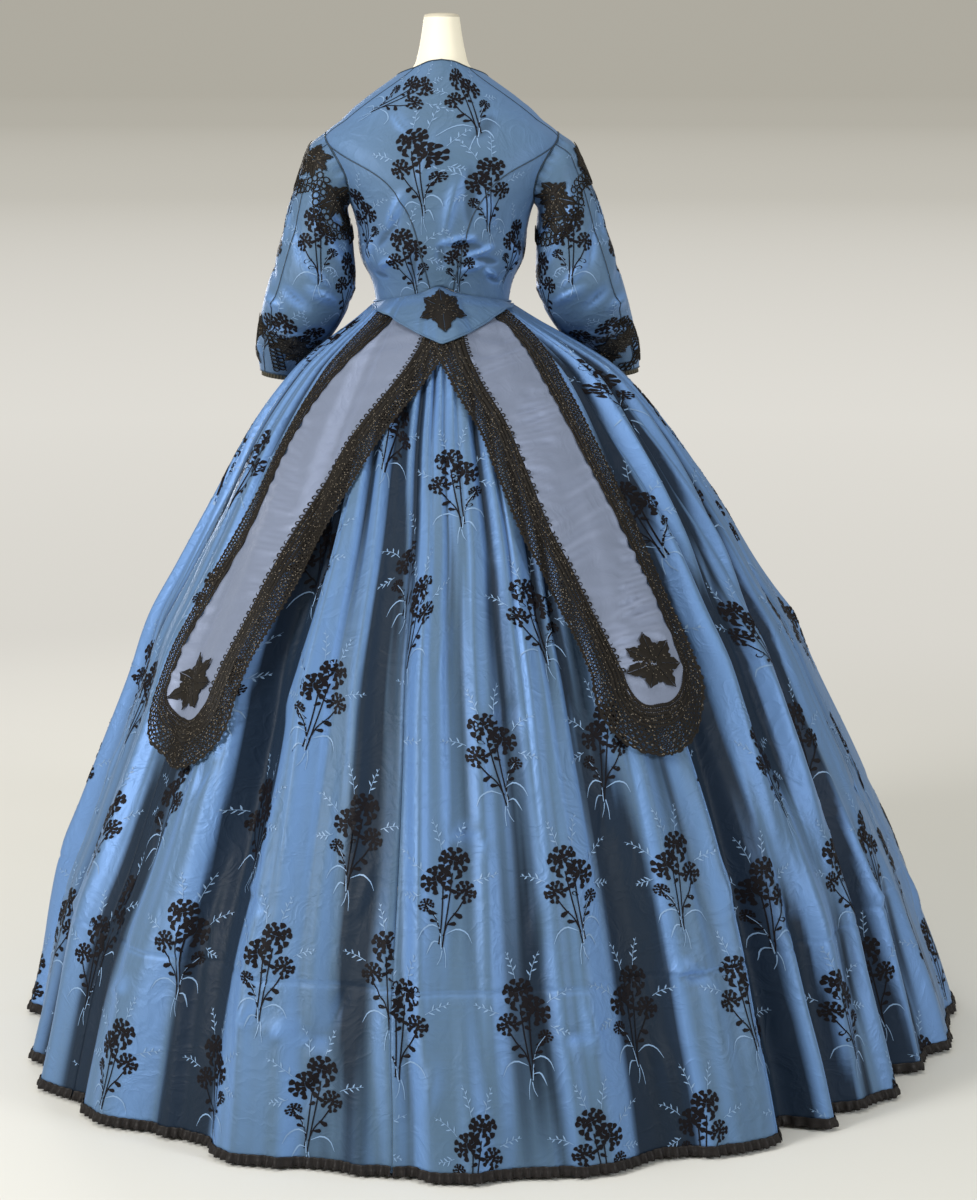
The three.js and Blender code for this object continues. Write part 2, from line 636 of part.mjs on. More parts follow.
// The basque: its lower edge falls from the side to a point at the centre back.
const BASQUE = {
  columns: ["phi", "z"],
  rows: [
    [14, 1030], [30, 1028], [48, 1020], [68, 1003], [88, 984],
    [108, 1002], [128, 1019], [150, 1028], [166, 1030],
  ],
  from: 14,
  to: 166,
};
const BASQUE_TOP = 1.0;        // from its upper edge up to the waist seam
const BASQUE_COLUMNS = 24;
add("basque", "silk", cloth(over(LEVEL.basque), range(4).map((j) => range(BASQUE_COLUMNS + 1).map((i) => {
  const phi = mix(BASQUE.from, BASQUE.to, i / BASQUE_COLUMNS);
  return [phi, mix(read(BASQUE, "phi", "z", phi), waistZ(phi) - BASQUE_TOP, j / 3)];
}))));
// Six lobes, and a longer tail straight down.
const starRadius = (turn) => (turn > -105 && turn < -75 ? 44 : leafy(6, 13, 27)(turn + 30));
add("basque_star", "lace", motif(over(LEVEL.star), [89, 1019], starRadius, STAR_RING, STAR_SLANT));

// Piping: a thin cord in the line of a seam.
function cord(points, closed) {
  const curve = new THREE.CatmullRomCurve3(points, closed);
  const circle = new THREE.Shape(range(6).map((i) => new THREE.Vector2(
    PIPING_RADIUS * Math.cos(rad(60 * i)), PIPING_RADIUS * Math.sin(rad(60 * i)))));
  return new THREE.ExtrudeGeometry(circle, { steps: points.length + 4, extrudePath: curve });
}
add("waist_piping", "silk", cord(range(24).map((i) => {
  const phi = 15 * i;
  const z = waistZ(phi) + 2.5;
  const out = mix(PIPING_RADIUS + 1.6, LEVEL.basque + 4.5, smooth(Math.sin(rad(phi)) * 5 + 0.4));
  return torso(phi, z).addScaledVector(normal(torso, phi, z), out);
}), true));
add("basque_piping", "silk", cord(range(21).map((i) => {
  const phi = mix(BASQUE.from + 1, BASQUE.to - 1, i / 20);
  const z = read(BASQUE, "phi", "z", phi) - PIPING_RADIUS - 1.2;
  return over(LEVEL.basque + 1)(phi, z);
}), false));

// ---- sleeves ------------------------------------------------------------------------------------------
// Rows run from the sleeve head to the wrist. outer and inner are the sleeve's two edges seen
// from the back, middleY its middle from front to back and depth half its size that way; right
// is how much further out the right sleeve hangs.
const SLEEVE = {
  columns: ["row", "outerX", "outerZ", "innerX", "innerZ", "middleY", "depth", "right"],
  rows: [
    [1, 190, 1252, 134, 1163, 4, 61, 2],
    [2, 206, 1208, 129, 1137, 6, 60, 5],
    [3, 219, 1158, 126, 1106, 8, 60, 8],
    [4, 236, 1106, 124, 1070, 7, 63, 10],
    [5, 253, 1050, 132, 1034, 0, 64, 10],
    [6, 265, 1000, 158, 988, -22, 59, 12],
    [7, 271, 962, 190, 954, -60, 48, 16],
    [8, 270, 930, 208, 921, -94, 40, 20],
  ],
};
const SLEEVE_ROWS = 8;
const SLEEVE_TURNS = 16;
const BACK_TURN = 45;          // the seam at the back of the arm, and the front one opposite
const HEAD_GAP = 4.0;         // between the sleeve head and the armscye
const HEAD_LIFT = 0.9;
const RIGHT_FORWARD = 42;     // how much further forward the right wrist is

// A point of a sleeve's outer face: turn is 0 outside, 90 at the back, 180 next to the body;
// side is 1 on the left and -1 on the right.
function sleeve(side, turn, row) {
  const ring = (r) => {
    if (r <= 0) {
      const shrink = 1 - HEAD_GAP / ARMSCYE.halfHeight;
      const [phi, z] = [ARMSCYE.halfAngle * Math.sin(rad(turn)) * shrink,
        ARMSCYE.z + ARMSCYE.halfHeight * Math.cos(rad(turn)) * shrink];
      return torso(phi, z).addScaledVector(normal(torso, phi, z), HEAD_LIFT);
    }
    const [outerX, outerZ, innerX, innerZ, middleY, depth, right] = SLEEVE.columns.slice(1)
      .map((name) => read(SLEEVE, "row", name, r));
    const hang = side < 0 ? right : 0;
    const forward = (side < 0 ? RIGHT_FORWARD : 0) * smooth((r - 4.5) / 2.5);
    return new THREE.Vector3(
      (outerX + innerX) / 2 + hang + ((outerX - innerX) / 2) * Math.cos(rad(turn)),
      middleY - forward + depth * Math.sin(rad(turn)),
      (outerZ + innerZ) / 2 + ((outerZ - innerZ) / 2) * Math.cos(rad(turn)));
  };
  const whole = clamp(Math.floor(row), 0, SLEEVE_ROWS - 1);
  const point = ring(whole).lerp(ring(whole + 1), row - whole);
  point.x *= side;
  return point;
}

// The sleeve's wall, or a wall that lies on it: the grid holds (turn, row) pairs.
function sleeveWall(side, grid, lift, thickness, closed = false) {
  const f = (turn, row) => sleeve(side, turn, row);
  const face = (out) => grid.map((line) => line.map(([turn, row]) => {
    const within = clamp(row, 0.06, SLEEVE_ROWS - 0.06);
    return f(turn, row).addScaledVector(normal(f, turn, within, 4, 0.05), -side * out);
  }));
  return wall(face(lift), face(lift - thickness), closed);
}
const lines = (turns, rows) => rows.map((row) => turns.map((turn) => [turn, row]));
const around = (from, to, count, gap = 0) =>
  range(count + 1).map((i) => mix(from + gap, to - gap, i / count));
const SEAM_TURN = 0.25;        // half the seam's clearance, in degrees round the sleeve
// The epaulette's lower edge, as a sleeve row at each turn.
const EPAULETTE = {
  columns: ["turn", "row"],
  rows: [[-75, 1.3], [-30, 1.6], [0, 1.8], [25, 1.5], [45, 1.9], [75, 2.35], [120, 2.1], [158, 1.4]],
};
const EPAULETTE_TOP = 0.35;
const ROUND = range(SLEEVE_TURNS).map((i) => (360 * i) / SLEEVE_TURNS);
const LACE_LIFT = 1.7;         // from the sleeve to the epaulette on it
const CUFF_LIFT = 1.0;
const CUFF_ROWS = [6.15, 7, 7.85];
const FRILL_HEIGHT = 12;
const FRILL_DROP = 1;

for (const [name, side] of [["left", 1], ["right", -1]]) {
  const rows = range(SLEEVE_ROWS + 1);
  const half = SLEEVE_TURNS / 2;
  add(`sleeve_upper_${name}`, "silk", sleeveWall(side,
    lines(around(BACK_TURN - 180, BACK_TURN, half, SEAM_TURN), rows), 0, CLOTH));
  add(`sleeve_under_${name}`, "silk", sleeveWall(side,
    lines(around(BACK_TURN, BACK_TURN + 180, half, SEAM_TURN), rows), 0, CLOTH));
  const cap = range(4).map((k) => around(-67.5, 157.5, 10).map((turn) => {
    const lower = read(EPAULETTE, "turn", "row", turn);
    return [turn, k === 0 ? EPAULETTE_TOP : mix(1, lower, (k - 1) / 2)];
  }));
  add(`epaulette_${name}`, "lace", sleeveWall(side, cap, LACE_LIFT + LACE, LACE));
  add(`cuff_lace_${name}`, "lace",
    sleeveWall(side, lines(ROUND, CUFF_ROWS), CUFF_LIFT + LACE, LACE, true));
  const edge = (drop, inset) => ROUND.map((turn) => {
    const p = sleeve(side, turn, SLEEVE_ROWS);
    const middle = sleeve(side, turn + 180, SLEEVE_ROWS).add(p).multiplyScalar(0.5);
    p.lerp(middle, inset / p.distanceTo(middle));
    p.z -= drop;
    return p;
  });
  add(`wrist_frill_${name}`, "ribbon", wall([edge(FRILL_HEIGHT, 0), edge(FRILL_DROP, 0)],
    [edge(FRILL_HEIGHT, CLOTH), edge(FRILL_DROP, CLOTH)], true));
}

// ---- dress form ----------------------------------------------------------------------------------
const FORM_ROOM = 7;           // from the cloth's outer face to the form, which is closer at the neck
const NECK_ROOM = CLOTH + 1.8;
const NECK_FROM = 1345;
const FORM_LEVELS = [
  FORM_BOTTOM, 900, 950, 1000, 1035, 1067, 1099, 1144, 1176, 1215, 1245, 1270, 1295, 1325, 1350,
  1368, 1390, 1415, NECK_TOP];
const FORM_TURNS = 24;
const NECK_DOME = 5;
const formRings = FORM_LEVELS.map((z) => range(FORM_TURNS).map((i) => {
  const phi = (360 * i) / FORM_TURNS;
  const room = mix(FORM_ROOM, NECK_ROOM, smooth((z - NECK_FROM) / 25));
  return torso(phi, z).addScaledVector(normal(torso, phi, z), -room);
}));
function capped(rings, bottom, top) {
  const n = rings[0].length;
  const points = [...rings.flat(), bottom, top];
  const triangles = [];
  for (const r of range(rings.length - 1)) {
    for (const c of range(n)) {
      const [low, high] = [r * n, (r + 1) * n];
      const next = (c + 1) % n;
      triangles.push([low + c, low + next, high + next], [low + c, high + next, high + c]);
    }
  }
  for (const c of range(n)) {
    triangles.push([points.length - 2, (c + 1) % n, c]);
    triangles.push([points.length - 1, (rings.length - 1) * n + c, (rings.length - 1) * n + ((c + 1) % n)]);
  }
  return solid(points, triangles);
}
add("form_torso", "form", capped(formRings,
  new THREE.Vector3(0, 0, FORM_BOTTOM), new THREE.Vector3(0, 0, NECK_TOP + NECK_DOME)));

function upright(profile, segments) {
  const geometry = new THREE.LatheGeometry(profile.map(([r, z]) => new THREE.Vector2(r, z)), segments);
  return geometry.rotateX(Math.PI / 2);
}
add("form_pole", "stand", upright([[0, BASE_HEIGHT + SEAM], [POLE_RADIUS, BASE_HEIGHT + SEAM],
  [POLE_RADIUS, FORM_BOTTOM - SEAM], [0, FORM_BOTTOM - SEAM]], 24));
add("form_base", "stand", upright([[0, 0], [BASE_RADIUS, 0], [BASE_RADIUS, BASE_HEIGHT - 4],
  [BASE_RADIUS - 5, BASE_HEIGHT], [0, BASE_HEIGHT]], 48));

export default new THREE.Group().add(...meshes);
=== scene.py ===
"""A day dress of the 1860s on a limbless dress form: the looks of each piece.

Every cloth surface is worked out in millimetres from (angle, height) or (turn, row) and
made in metres, in the frame's own place. +Z is up, the dress's back is towards +Y, and the
wearer's left is +X.
"""

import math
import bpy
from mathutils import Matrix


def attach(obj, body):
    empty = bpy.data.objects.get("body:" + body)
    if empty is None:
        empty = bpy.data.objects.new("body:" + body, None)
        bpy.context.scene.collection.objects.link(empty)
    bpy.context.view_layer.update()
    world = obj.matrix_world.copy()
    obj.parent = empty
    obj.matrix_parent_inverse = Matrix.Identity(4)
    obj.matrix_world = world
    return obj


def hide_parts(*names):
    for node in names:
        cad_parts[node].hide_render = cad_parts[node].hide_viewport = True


bl_info = {
    "name": "Victorian Day Dress",
    "version": (1, 0, 0),
    "blender": (4, 5, 0),
    "location": "3D View > Sidebar > Day Dress",
    "description": "Builds a brocaded silk day dress, its lace and its dress form",
    "category": "Object",
}

import bpy
import numpy as np
from bpy.props import FloatProperty, FloatVectorProperty, IntProperty, PointerProperty

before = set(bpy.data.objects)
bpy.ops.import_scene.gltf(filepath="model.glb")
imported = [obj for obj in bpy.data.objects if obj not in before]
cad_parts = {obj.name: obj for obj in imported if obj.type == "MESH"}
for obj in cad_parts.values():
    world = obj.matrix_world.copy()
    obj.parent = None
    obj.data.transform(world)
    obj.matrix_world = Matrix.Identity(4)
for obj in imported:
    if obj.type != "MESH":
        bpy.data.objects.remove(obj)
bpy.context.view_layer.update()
MM = 0.001

# ---- small helpers -------------------------------------------------------------------------


def rad(deg):
    return np.radians(deg)


def cos_sin(deg):
    return math.cos(math.radians(deg)), math.sin(math.radians(deg))


def mix(a, b, t):
    return a + (b - a) * t


def smooth(t):
    t = np.clip(t, 0, 1)
    return t * t * (3 - 2 * t)


def wrap(deg):
    return (deg + 540) % 360 - 180


def matched(a, b):
    """Both in one shape, the first as floats."""
    return np.broadcast_arrays(np.asarray(a, float), b)


def run_up(steps):
    """The length run at each point of a line, from the steps between them."""
    return np.concatenate([[0], np.cumsum(steps)])


def stack(x, y, z):
    return np.stack(np.broadcast_arrays(x, y, z), -1)


def unit(v):
    return v / np.maximum(np.linalg.norm(v, axis=-1, keepdims=True), 1e-9)


def read(table, x, column=1):
    """A smooth curve through a table's rows, whose first column rises."""
    k, v = table[:, 0], table[:, column]
    x = np.clip(np.asarray(x, float), k[0], k[-1])
    i = np.clip(np.searchsorted(k, x), 1, len(k) - 1)
    before, after = np.maximum(i - 2, 0), np.minimum(i + 1, len(k) - 1)
    width = k[i] - k[i - 1]
    m1 = (v[i] - v[before]) / (k[i] - k[before]) * width
    m2 = (v[after] - v[i - 1]) / (k[after] - k[i - 1]) * width
    t = (x - k[i - 1]) / width
    t2, t3 = t * t, t * t * t
    return ((2 * t3 - 3 * t2 + 1) * v[i - 1] + (t3 - 2 * t2 + t) * m1
            + (3 * t2 - 2 * t3) * v[i] + (t3 - t2) * m2)


def table(*rows):
    return np.array(rows, float)


def through(points, count):
    """count + 1 places on a smooth curve through the points."""
    points = np.array(points, float)
    rows = np.column_stack([np.arange(len(points)), points])
    at = np.linspace(0, len(points) - 1, count + 1)
    return np.stack([read(rows, at, c + 1) for c in range(points.shape[1])], -1)


# ---- the figure ----------------------------------------------------------------------------
# z, half width, depth behind and before the body's axis, squareness
TORSO = table(
    (862, 136, 122, 108, 2.0),
    (890, 137, 124, 110, 2.0),
    (925, 131, 120, 108, 2.0),
    (960, 117, 109, 101, 2.0),
    (990, 103, 97, 92, 2.0),
    (1015, 95, 89, 85, 2.0),
    (1035, 95, 89, 84, 2.0),
    (1067, 101, 96, 94, 2.0),
    (1099, 116, 106, 110, 2.1),
    (1144, 122, 112, 128, 2.2),
    (1176, 131, 115, 132, 2.3),
    (1215, 151, 114, 126, 2.4),
    (1245, 166, 106, 112, 2.4),
    (1270, 169, 94, 93, 2.3),
    (1295, 140, 82, 77, 2.2),
    (1325, 99, 68, 65, 2.1),
    (1350, 64, 56, 56, 2.0),
    (1368, 43, 47, 49, 2.0),
    (1385, 37, 41, 42, 2.0),
    (1410, 32, 35, 36, 2.0),
    (1437, 28, 31, 31, 2.0),
)
# z, middle, half width, reach behind and before the body's axis
SKIRT = table(
    (9, -68, 666, 757, 603),
    (85, -65, 645, 748, 597),
    (165, -59, 621, 730, 583),
    (250, -55, 594, 704, 562),
    (310, -54, 568, 683, 545),
    (400, -51, 530, 647, 512),
    (500, -46, 486, 598, 470),
    (590, -41, 450, 546, 425),
    (660, -38, 409, 500, 385),
    (750, -36, 360, 430, 325),
    (870, -25, 287, 318, 235),
    (945, -20, 225, 225, 170),
    (980, -13, 178, 175, 135),
    (1009, -6, 132, 128, 105),
    (1034, 0, 97, 92, 87),
)
HEM_Z = 9
WAIST = table(
    (-90, 1026), (-45, 1029), (0, 1035), (45, 1043), (74, 1053), (88, 1062),
    (102, 1053), (135, 1043), (180, 1035), (225, 1029), (270, 1026),
)
WAIST_LEVEL, LIFT_FROM, LIFT_OVER = 1034, 880, 150
# The largest folds: angle at three heights, rise there, half widths before and after the line
FOLDS = table(
    (12, 9, 8, -8, -20, -40, 9, 9),
    (26, 27, 31, 8, 14, 26, 8, 6),
    (47, 49, 43, 14, 22, 30, 8, 6),
    (59, 55, 54, -10, -34, -8, 5, 5),
    (66, 63, 62, 6, 24, 26, 5, 8),
    (85, 82.5, 84, 9, 16, 16, 2.6, 9),
    (92, 96, 98, 9, 5, -8, 4, 5),
    (112, 112, 112, -4, -8, -34, 9, 9),
    (136, 129.5, 128, -14, -26, -50, 6, 5),
    (143, 136, 136, 14, 14, -36, 5, 5),
    (156, 147, 142, 18, 24, -26, 5, 4),
    (161.5, 153, 151, -14, -30, -70, 5, 5),
    (166, 163, 159, 6, 10, -26, 6, 6),
    (184, 184, 184, 2, 14, 22, 8, 8),
    (199, 199, 199, -8, -22, -24, 7, 7),
    (226, 226, 226, 2, 18, 22, 9, 7),
    (243, 243, 243, -8, -20, -20, 6, 7),
    (273, 273, 273, 7, 14, 20, 9, 10),
    (291, 291, 291, -6, -18, -20, 7, 7),
    (316, 316, 316, 2, 18, 24, 8, 9),
    (334, 334, 334, -8, -20, -22, 7, 7),
    (355, 355, 355, 2, 12, 12, 8, 8),
)
FOLD_HIGH, FOLD_MID, FOLD_CARRY, FOLD_FADE = 900, 550, 1.35, 110
# distance below the waist, depth of the small pleats there
PLEAT_DEPTH = table(
    (0, 1.6), (30, 3.4), (80, 6.4), (150, 7.4), (250, 5.8), (380, 3.2), (520, 1.2), (640, 0),
    (1100, 0),
)


def torso(phi, z):
    half, back, front, power = (read(TORSO, z, k) for k in (1, 2, 3, 4))
    c, s = np.cos(rad(phi)), np.sin(rad(phi))

    def bend(v):
        return np.sign(v) * np.abs(v) ** (2 / power)

    return stack(half * bend(c), np.where(s > 0, back, front) * bend(s), z)


def waist_z(phi):
    return read(WAIST, wrap(phi - 90) + 90)


def skirt(phi, z, out=0):
    """A point of the skirt's plain ring, moved out by `out`."""
    lift = (waist_z(phi) - WAIST_LEVEL) * smooth((z - LIFT_FROM) / LIFT_OVER)
    level = np.maximum(HEM_Z, z - lift)
    middle, half, back, front = (read(SKIRT, level, k) for k in (1, 2, 3, 4))
    return stack(middle + (half + out) * np.cos(rad(phi)),
                 (back - front) / 2 + ((back + front) / 2 + out) * np.sin(rad(phi)), z)


def down(high, mid, low, z):
    above = mid + (high - mid) * np.clip((z - FOLD_MID) / (FOLD_HIGH - FOLD_MID), 0, FOLD_CARRY)
    return np.where(z >= FOLD_MID, above, mix(low, mid, smooth((z - HEM_Z) / (FOLD_MID - HEM_Z))))


def fold_rise(phi, z):
    rise = 0
    for high, mid, low, rise_high, rise_mid, rise_low, left, right in FOLDS:
        away = wrap(phi - down(high, mid, low, z))
        t = away / np.where(away < 0, left, right)
        rise = rise + down(rise_high, rise_mid, rise_low, z) * np.clip(1 - t * t, 0, None) ** 2
    return rise * smooth((waist_z(phi) - z) / FOLD_FADE)


def pleats(phi, z):
    """Knife pleats let into the waist, each of which runs out into the skirt at its own length."""
    phase = phi / 360 * bpy.context.scene.dress_sizes.pleats
    phase = phase + 0.3 * np.sin(rad(7 * phi + 40)) + 0.2 * np.sin(rad(17 * phi))
    t = phase - np.floor(phase)
    saw = smooth(t / 0.74) - smooth((t - 0.74) / 0.26)
    own = 1 + 0.45 * np.sin(np.floor(phase) * 2.4) * smooth((waist_z(phi) - z) / 120)
    uneven = 0.75 + 0.35 * np.sin(rad(11 * phi + 25))
    return (2 * saw - 1.3) * read(PLEAT_DEPTH, (waist_z(phi) - z) / own) * uneven


def flutes(phi, z):
    """The soft upright rolls between the largest folds."""
    drift = 2.2 * np.sin(z / 310 + rad(2 * phi))
    warp = 95 * np.sin(rad(5 * phi + 20)) + 48 * np.sin(rad(11 * phi + 50))
    wave = np.sin(rad(37 * phi + warp) + drift)
    fine = np.sin(rad(83 * phi + 60 * np.sin(rad(7 * phi))) - 1.4 * drift)
    strong = 0.8 + 0.45 * np.sin(rad(3 * phi + 70) + z / 500)
    return (6.2 * wave * strong + 1.5 * fine + 1.6 * wave * fine) * smooth(
        (waist_z(phi) - z) / 420)


# The creases of the skirt: angle, height, half length, half width, lean in degrees from
# upright, and rise, which is negative for a trough.
SKIRT_CREASES = table(
    (66, 175, 34, 9, 70, 5), (70, 160, 30, 8, 105, -5), (62, 190, 26, 8, 40, 4),
    (73, 205, 40, 10, 20, -4), (58, 330, 36, 9, 60, 5), (61, 318, 30, 8, 110, -5),
    (75, 345, 46, 11, 15, 3.5), (88, 420, 30, 8, 75, 4), (90, 405, 26, 8, 115, -4),
    (97, 300, 60, 14, 5, 4), (103, 190, 50, 13, -12, 4), (101, 170, 26, 8, 80, -3.5),
    (116, 240, 40, 10, 65, 4), (118, 225, 34, 9, 100, -4), (109, 430, 44, 11, 12, -4),
    (94, 560, 34, 9, 60, 3.5), (96, 545, 28, 8, 100, -3.5), (86, 640, 60, 10, 8, 3),
    (125, 330, 44, 11, 20, 4), (134, 260, 36, 9, 75, -4.5), (146, 330, 46, 10, 30, 4),
    (158, 250, 40, 10, 70, 4.5), (168, 360, 44, 11, 100, -4), (176, 210, 50, 12, 10, 4),
    (50, 240, 50, 12, -15, 5), (42, 180, 36, 10, 65, 4.5), (36, 300, 60, 12, 12, -5),
    (24, 240, 44, 11, 75, 4.5), (15, 400, 50, 12, 15, 4), (4, 260, 44, 11, 100, -4.5),
    (48, 460, 50, 10, 25, -4), (60, 560, 50, 9, 15, 4), (79, 250, 60, 8, 4, -3),
    (84, 120, 46, 12, 10, 3.5), (112, 110, 60, 14, -6, 4), (130, 130, 46, 12, 20, 3.5),
    (70, 100, 40, 11, 30, -3.5), (100, 700, 60, 9, 8, 3), (150, 560, 50, 9, 22, 4),
    (140, 640, 60, 9, 12, -3.5), (170, 600, 60, 10, 15, 3.5), (30, 620, 60, 10, -12, 3.5),
)
# Millimetres to a degree round the bodice, to a degree of a sleeve's turn and to a sleeve's row
DEGREE, TURN_DEGREE, ROW_LENGTH = 2.0, 0.9, 44
# How much of its listed rise a crease takes, and the deepest that a trough of the bodice goes
SKIRT_CREASE, SLEEVE_CREASE, BODICE_CREASE, BODICE_TROUGH = 1.5, 1.5, 1.9, 2.1
FACING_Z = 230
# The swell over the shoulders: the height of its middle, its rise, and its reach up and down
SHOULDER_MIDDLE, SHOULDER_SWELL, SHOULDER_REACH = 1338, 8, 44
BODICE_CREASES = table(
    (100, 1128, 30, 5, 82, 5), (106, 1120, 34, 6, 96, -5), (116, 1112, 28, 5, 70, 4),
    (122, 1100, 26, 5, 100, -4), (112, 1090, 24, 5, 76, 3), (130, 1080, 22, 4, 112, 4),
    (136, 1072, 22, 4, 104, -3.5), (94, 1175, 60, 8, 6, 2.5), (104, 1190, 55, 8, -8, -2.5),
    (118, 1170, 40, 7, -25, 2.5), (62, 1165, 50, 8, 35, 3), (54, 1140, 44, 7, 48, -3),
    (70, 1090, 30, 6, 20, -2.5), (48, 1095, 26, 5, 70, 3), (36, 1078, 22, 5, 96, -2.5),
    (30, 1110, 40, 7, 35, 2.5), (150, 1110, 40, 7, -35, 2.5), (158, 1130, 44, 8, -48, -2.5),
    (86, 1240, 60, 9, 12, 2), (70, 1290, 40, 7, -50, 2), (112, 1285, 40, 7, 50, -2),
    (90, 1110, 26, 6, 0, -2),
)
# The creases of a sleeve: turn, row, half length, half width, lean, rise
SLEEVE_CREASES = table(
    (40, 5.2, 30, 7, 70, 5), (75, 5.0, 32, 7, 60, -5), (110, 4.8, 30, 7, 66, 5),
    (95, 4.2, 34, 8, 48, 3.5), (60, 3.6, 40, 8, 30, -3.5), (20, 3.0, 46, 9, 15, 3.5),
    (120, 3.1, 40, 8, 40, 3.5), (80, 2.2, 44, 9, 14, 3.5), (135, 2.2, 34, 8, 62, -4),
    (45, 5.9, 26, 7, 100, -4), (85, 6.1, 30, 7, 76, 4), (120, 5.9, 28, 7, 95, -4),
    (10, 4.4, 40, 8, 65, -3.5), (-40, 5.1, 34, 8, 70, 4), (-70, 4.6, 34, 8, 60, -4),
    (-20, 2.4, 44, 9, 15, 3), (-60, 3.0, 44, 9, -20, -3), (-90, 5.4, 30, 8, 80, 4),
    (-110, 4.9, 34, 8, 70, -4), (160, 4.4, 32, 8, 84, 1.5), (175, 5.0, 30, 7, 95, -1.5),
    (30, 6.9, 24, 6, 40, 3), (100, 7.0, 24, 6, 120, -3), (-45, 6.8, 26, 7, 60, 3),
)


def creased(creases, a, b, per_a, per_b):
    """The rise of all creases at places (a, b), with per_a and per_b millimetres to a unit."""
    rise = 0
    for a0, b0, length, width, lean, height in creases:
        x, y = wrap(a - a0) * per_a, (b - b0) * per_b
        c, s = cos_sin(lean)
        run, off = (x * s + y * c) / length, (x * c - y * s) / width
        rise = rise + height * np.clip(1 - run * run, 0, None) ** 2 / (1 + off * off) ** 2
    return rise


def ring_at(z):
    """Millimetres to a degree round the skirt."""
    return read(SKIRT, z, 2) * np.pi / 180


def skirt_detail(phi, z):
    back = creased(SKIRT_CREASES, phi, z, ring_at(z), 1.05)
    front = creased(SKIRT_CREASES[::-1], -phi - 4, z + 24, ring_at(z), 1.05)
    across = phi * ring_at(FACING_Z)
    gather = np.sin(across / 9.5 * 2 * np.pi) * (0.5 + 0.5 * np.sin(across / 67 + 2))
    facing = 1.1 * gather * np.exp(-((z - FACING_Z) / 16) ** 2) - 1.6 * np.exp(
        -((z - FACING_Z) / 3.5) ** 2)
    return SKIRT_CREASE * (back + front) + facing + flutes(phi, z)


def skin(phi, z):
    """The skirt's outer face."""
    return skirt(phi, z, fold_rise(phi, z) + pleats(phi, z) + skirt_detail(phi, z))


def bodice_rise(phi, z):
    swell = np.clip(1 - ((z - SHOULDER_MIDDLE) / SHOULDER_REACH) ** 2, 0, None)
    swell = swell * np.cos(rad(phi)) ** 2
    rise = creased(BODICE_CREASES, phi, z, DEGREE, 1.0)
    rise = rise + creased(BODICE_CREASES[::2], -phi - 8, z, DEGREE, 1.0) * 0.8
    rise = np.where(rise < 0, BODICE_TROUGH * np.tanh(rise), BODICE_CREASE * rise)
    return rise * smooth((z - waist_z(phi)) / 22) + SHOULDER_SWELL * swell


def bodice(phi, z):
    """The bodice's outer face."""
    phi, z = matched(phi, z)
    base = torso(phi, z)
    return base + unit(base * (1, 1, 0)) * bodice_rise(phi, z)[..., None]


# The steps in a surface's own coordinates over which its normal is taken
NEAR, SLEEVE_STEPS = (0.4, 0.4), (0.4, 0.01)


def normal(f, a, b, steps=NEAR):
    da, db = steps
    across = f(a + da, b) - f(a - da, b)
    up = f(a, b + db) - f(a, b - db)
    return unit(np.cross(across, up))


def lifted(f, a, b, out, steps=NEAR):
    return f(a, b) + normal(f, a, b, steps) * np.asarray(out)[..., None]


# ---- sleeves -------------------------------------------------------------------------------
ARMSCYE_Z, ARMSCYE_HEIGHT, ARMSCYE_ANGLE = 1226, 50, 31
# row, outer edge x and z, inner edge x and z, middle y, half depth, how much further out right
SLEEVE = table(
    (1, 190, 1252, 134, 1163, 4, 61, 2),
    (2, 206, 1208, 129, 1137, 6, 60, 5),
    (3, 219, 1158, 126, 1106, 8, 60, 8),
    (4, 236, 1106, 124, 1070, 7, 63, 10),
    (5, 253, 1050, 132, 1034, 0, 64, 10),
    (6, 265, 1000, 158, 988, -22, 59, 12),
    (7, 271, 962, 190, 954, -60, 48, 16),
    (8, 270, 930, 208, 921, -94, 40, 20),
)
SLEEVE_ROWS, BACK_TURN, HEAD_SHRINK, RIGHT_FORWARD = 8, 45, 0.965, 42


def sleeve_ring(side, turn, row):
    outer_x, outer_z, inner_x, inner_z, middle_y, depth, right = (
        read(SLEEVE, row, k) for k in range(1, 8))
    hang = right if side < 0 else 0
    forward = (RIGHT_FORWARD if side < 0 else 0) * smooth((row - 4.5) / 2.5)
    c, s = np.cos(rad(turn)), np.sin(rad(turn))
    return stack(side * ((outer_x + inner_x) / 2 + hang + (outer_x - inner_x) / 2 * c),
                 middle_y - forward + depth * s,
                 (outer_z + inner_z) / 2 + (outer_z - inner_z) / 2 * c)


def sleeve(side, turn, row):
    """The sleeve's smooth face: turn 0 is outside, 90 behind, 180 next to the body."""
    turn, row = matched(turn, row)
    head = torso(ARMSCYE_ANGLE * np.sin(rad(turn)) * HEAD_SHRINK,
                 ARMSCYE_Z + ARMSCYE_HEIGHT * np.cos(rad(turn)) * HEAD_SHRINK) * (side, 1, 1)
    first = sleeve_ring(side, turn, np.ones_like(row))
    onward = sleeve_ring(side, turn, np.full_like(row, 1.5)) * 2 - first * 2
    t = np.clip(row, 0, 1)[..., None]
    t2, t3 = t * t, t * t * t
    start = (first - head) * 1.1
    join = ((2 * t3 - 3 * t2 + 1) * head + (t3 - 2 * t2 + t) * start
            + (3 * t2 - 2 * t3) * first + (t3 - t2) * onward)
    return np.where(row[..., None] > 1, sleeve_ring(side, turn, np.maximum(row, 1)), join)


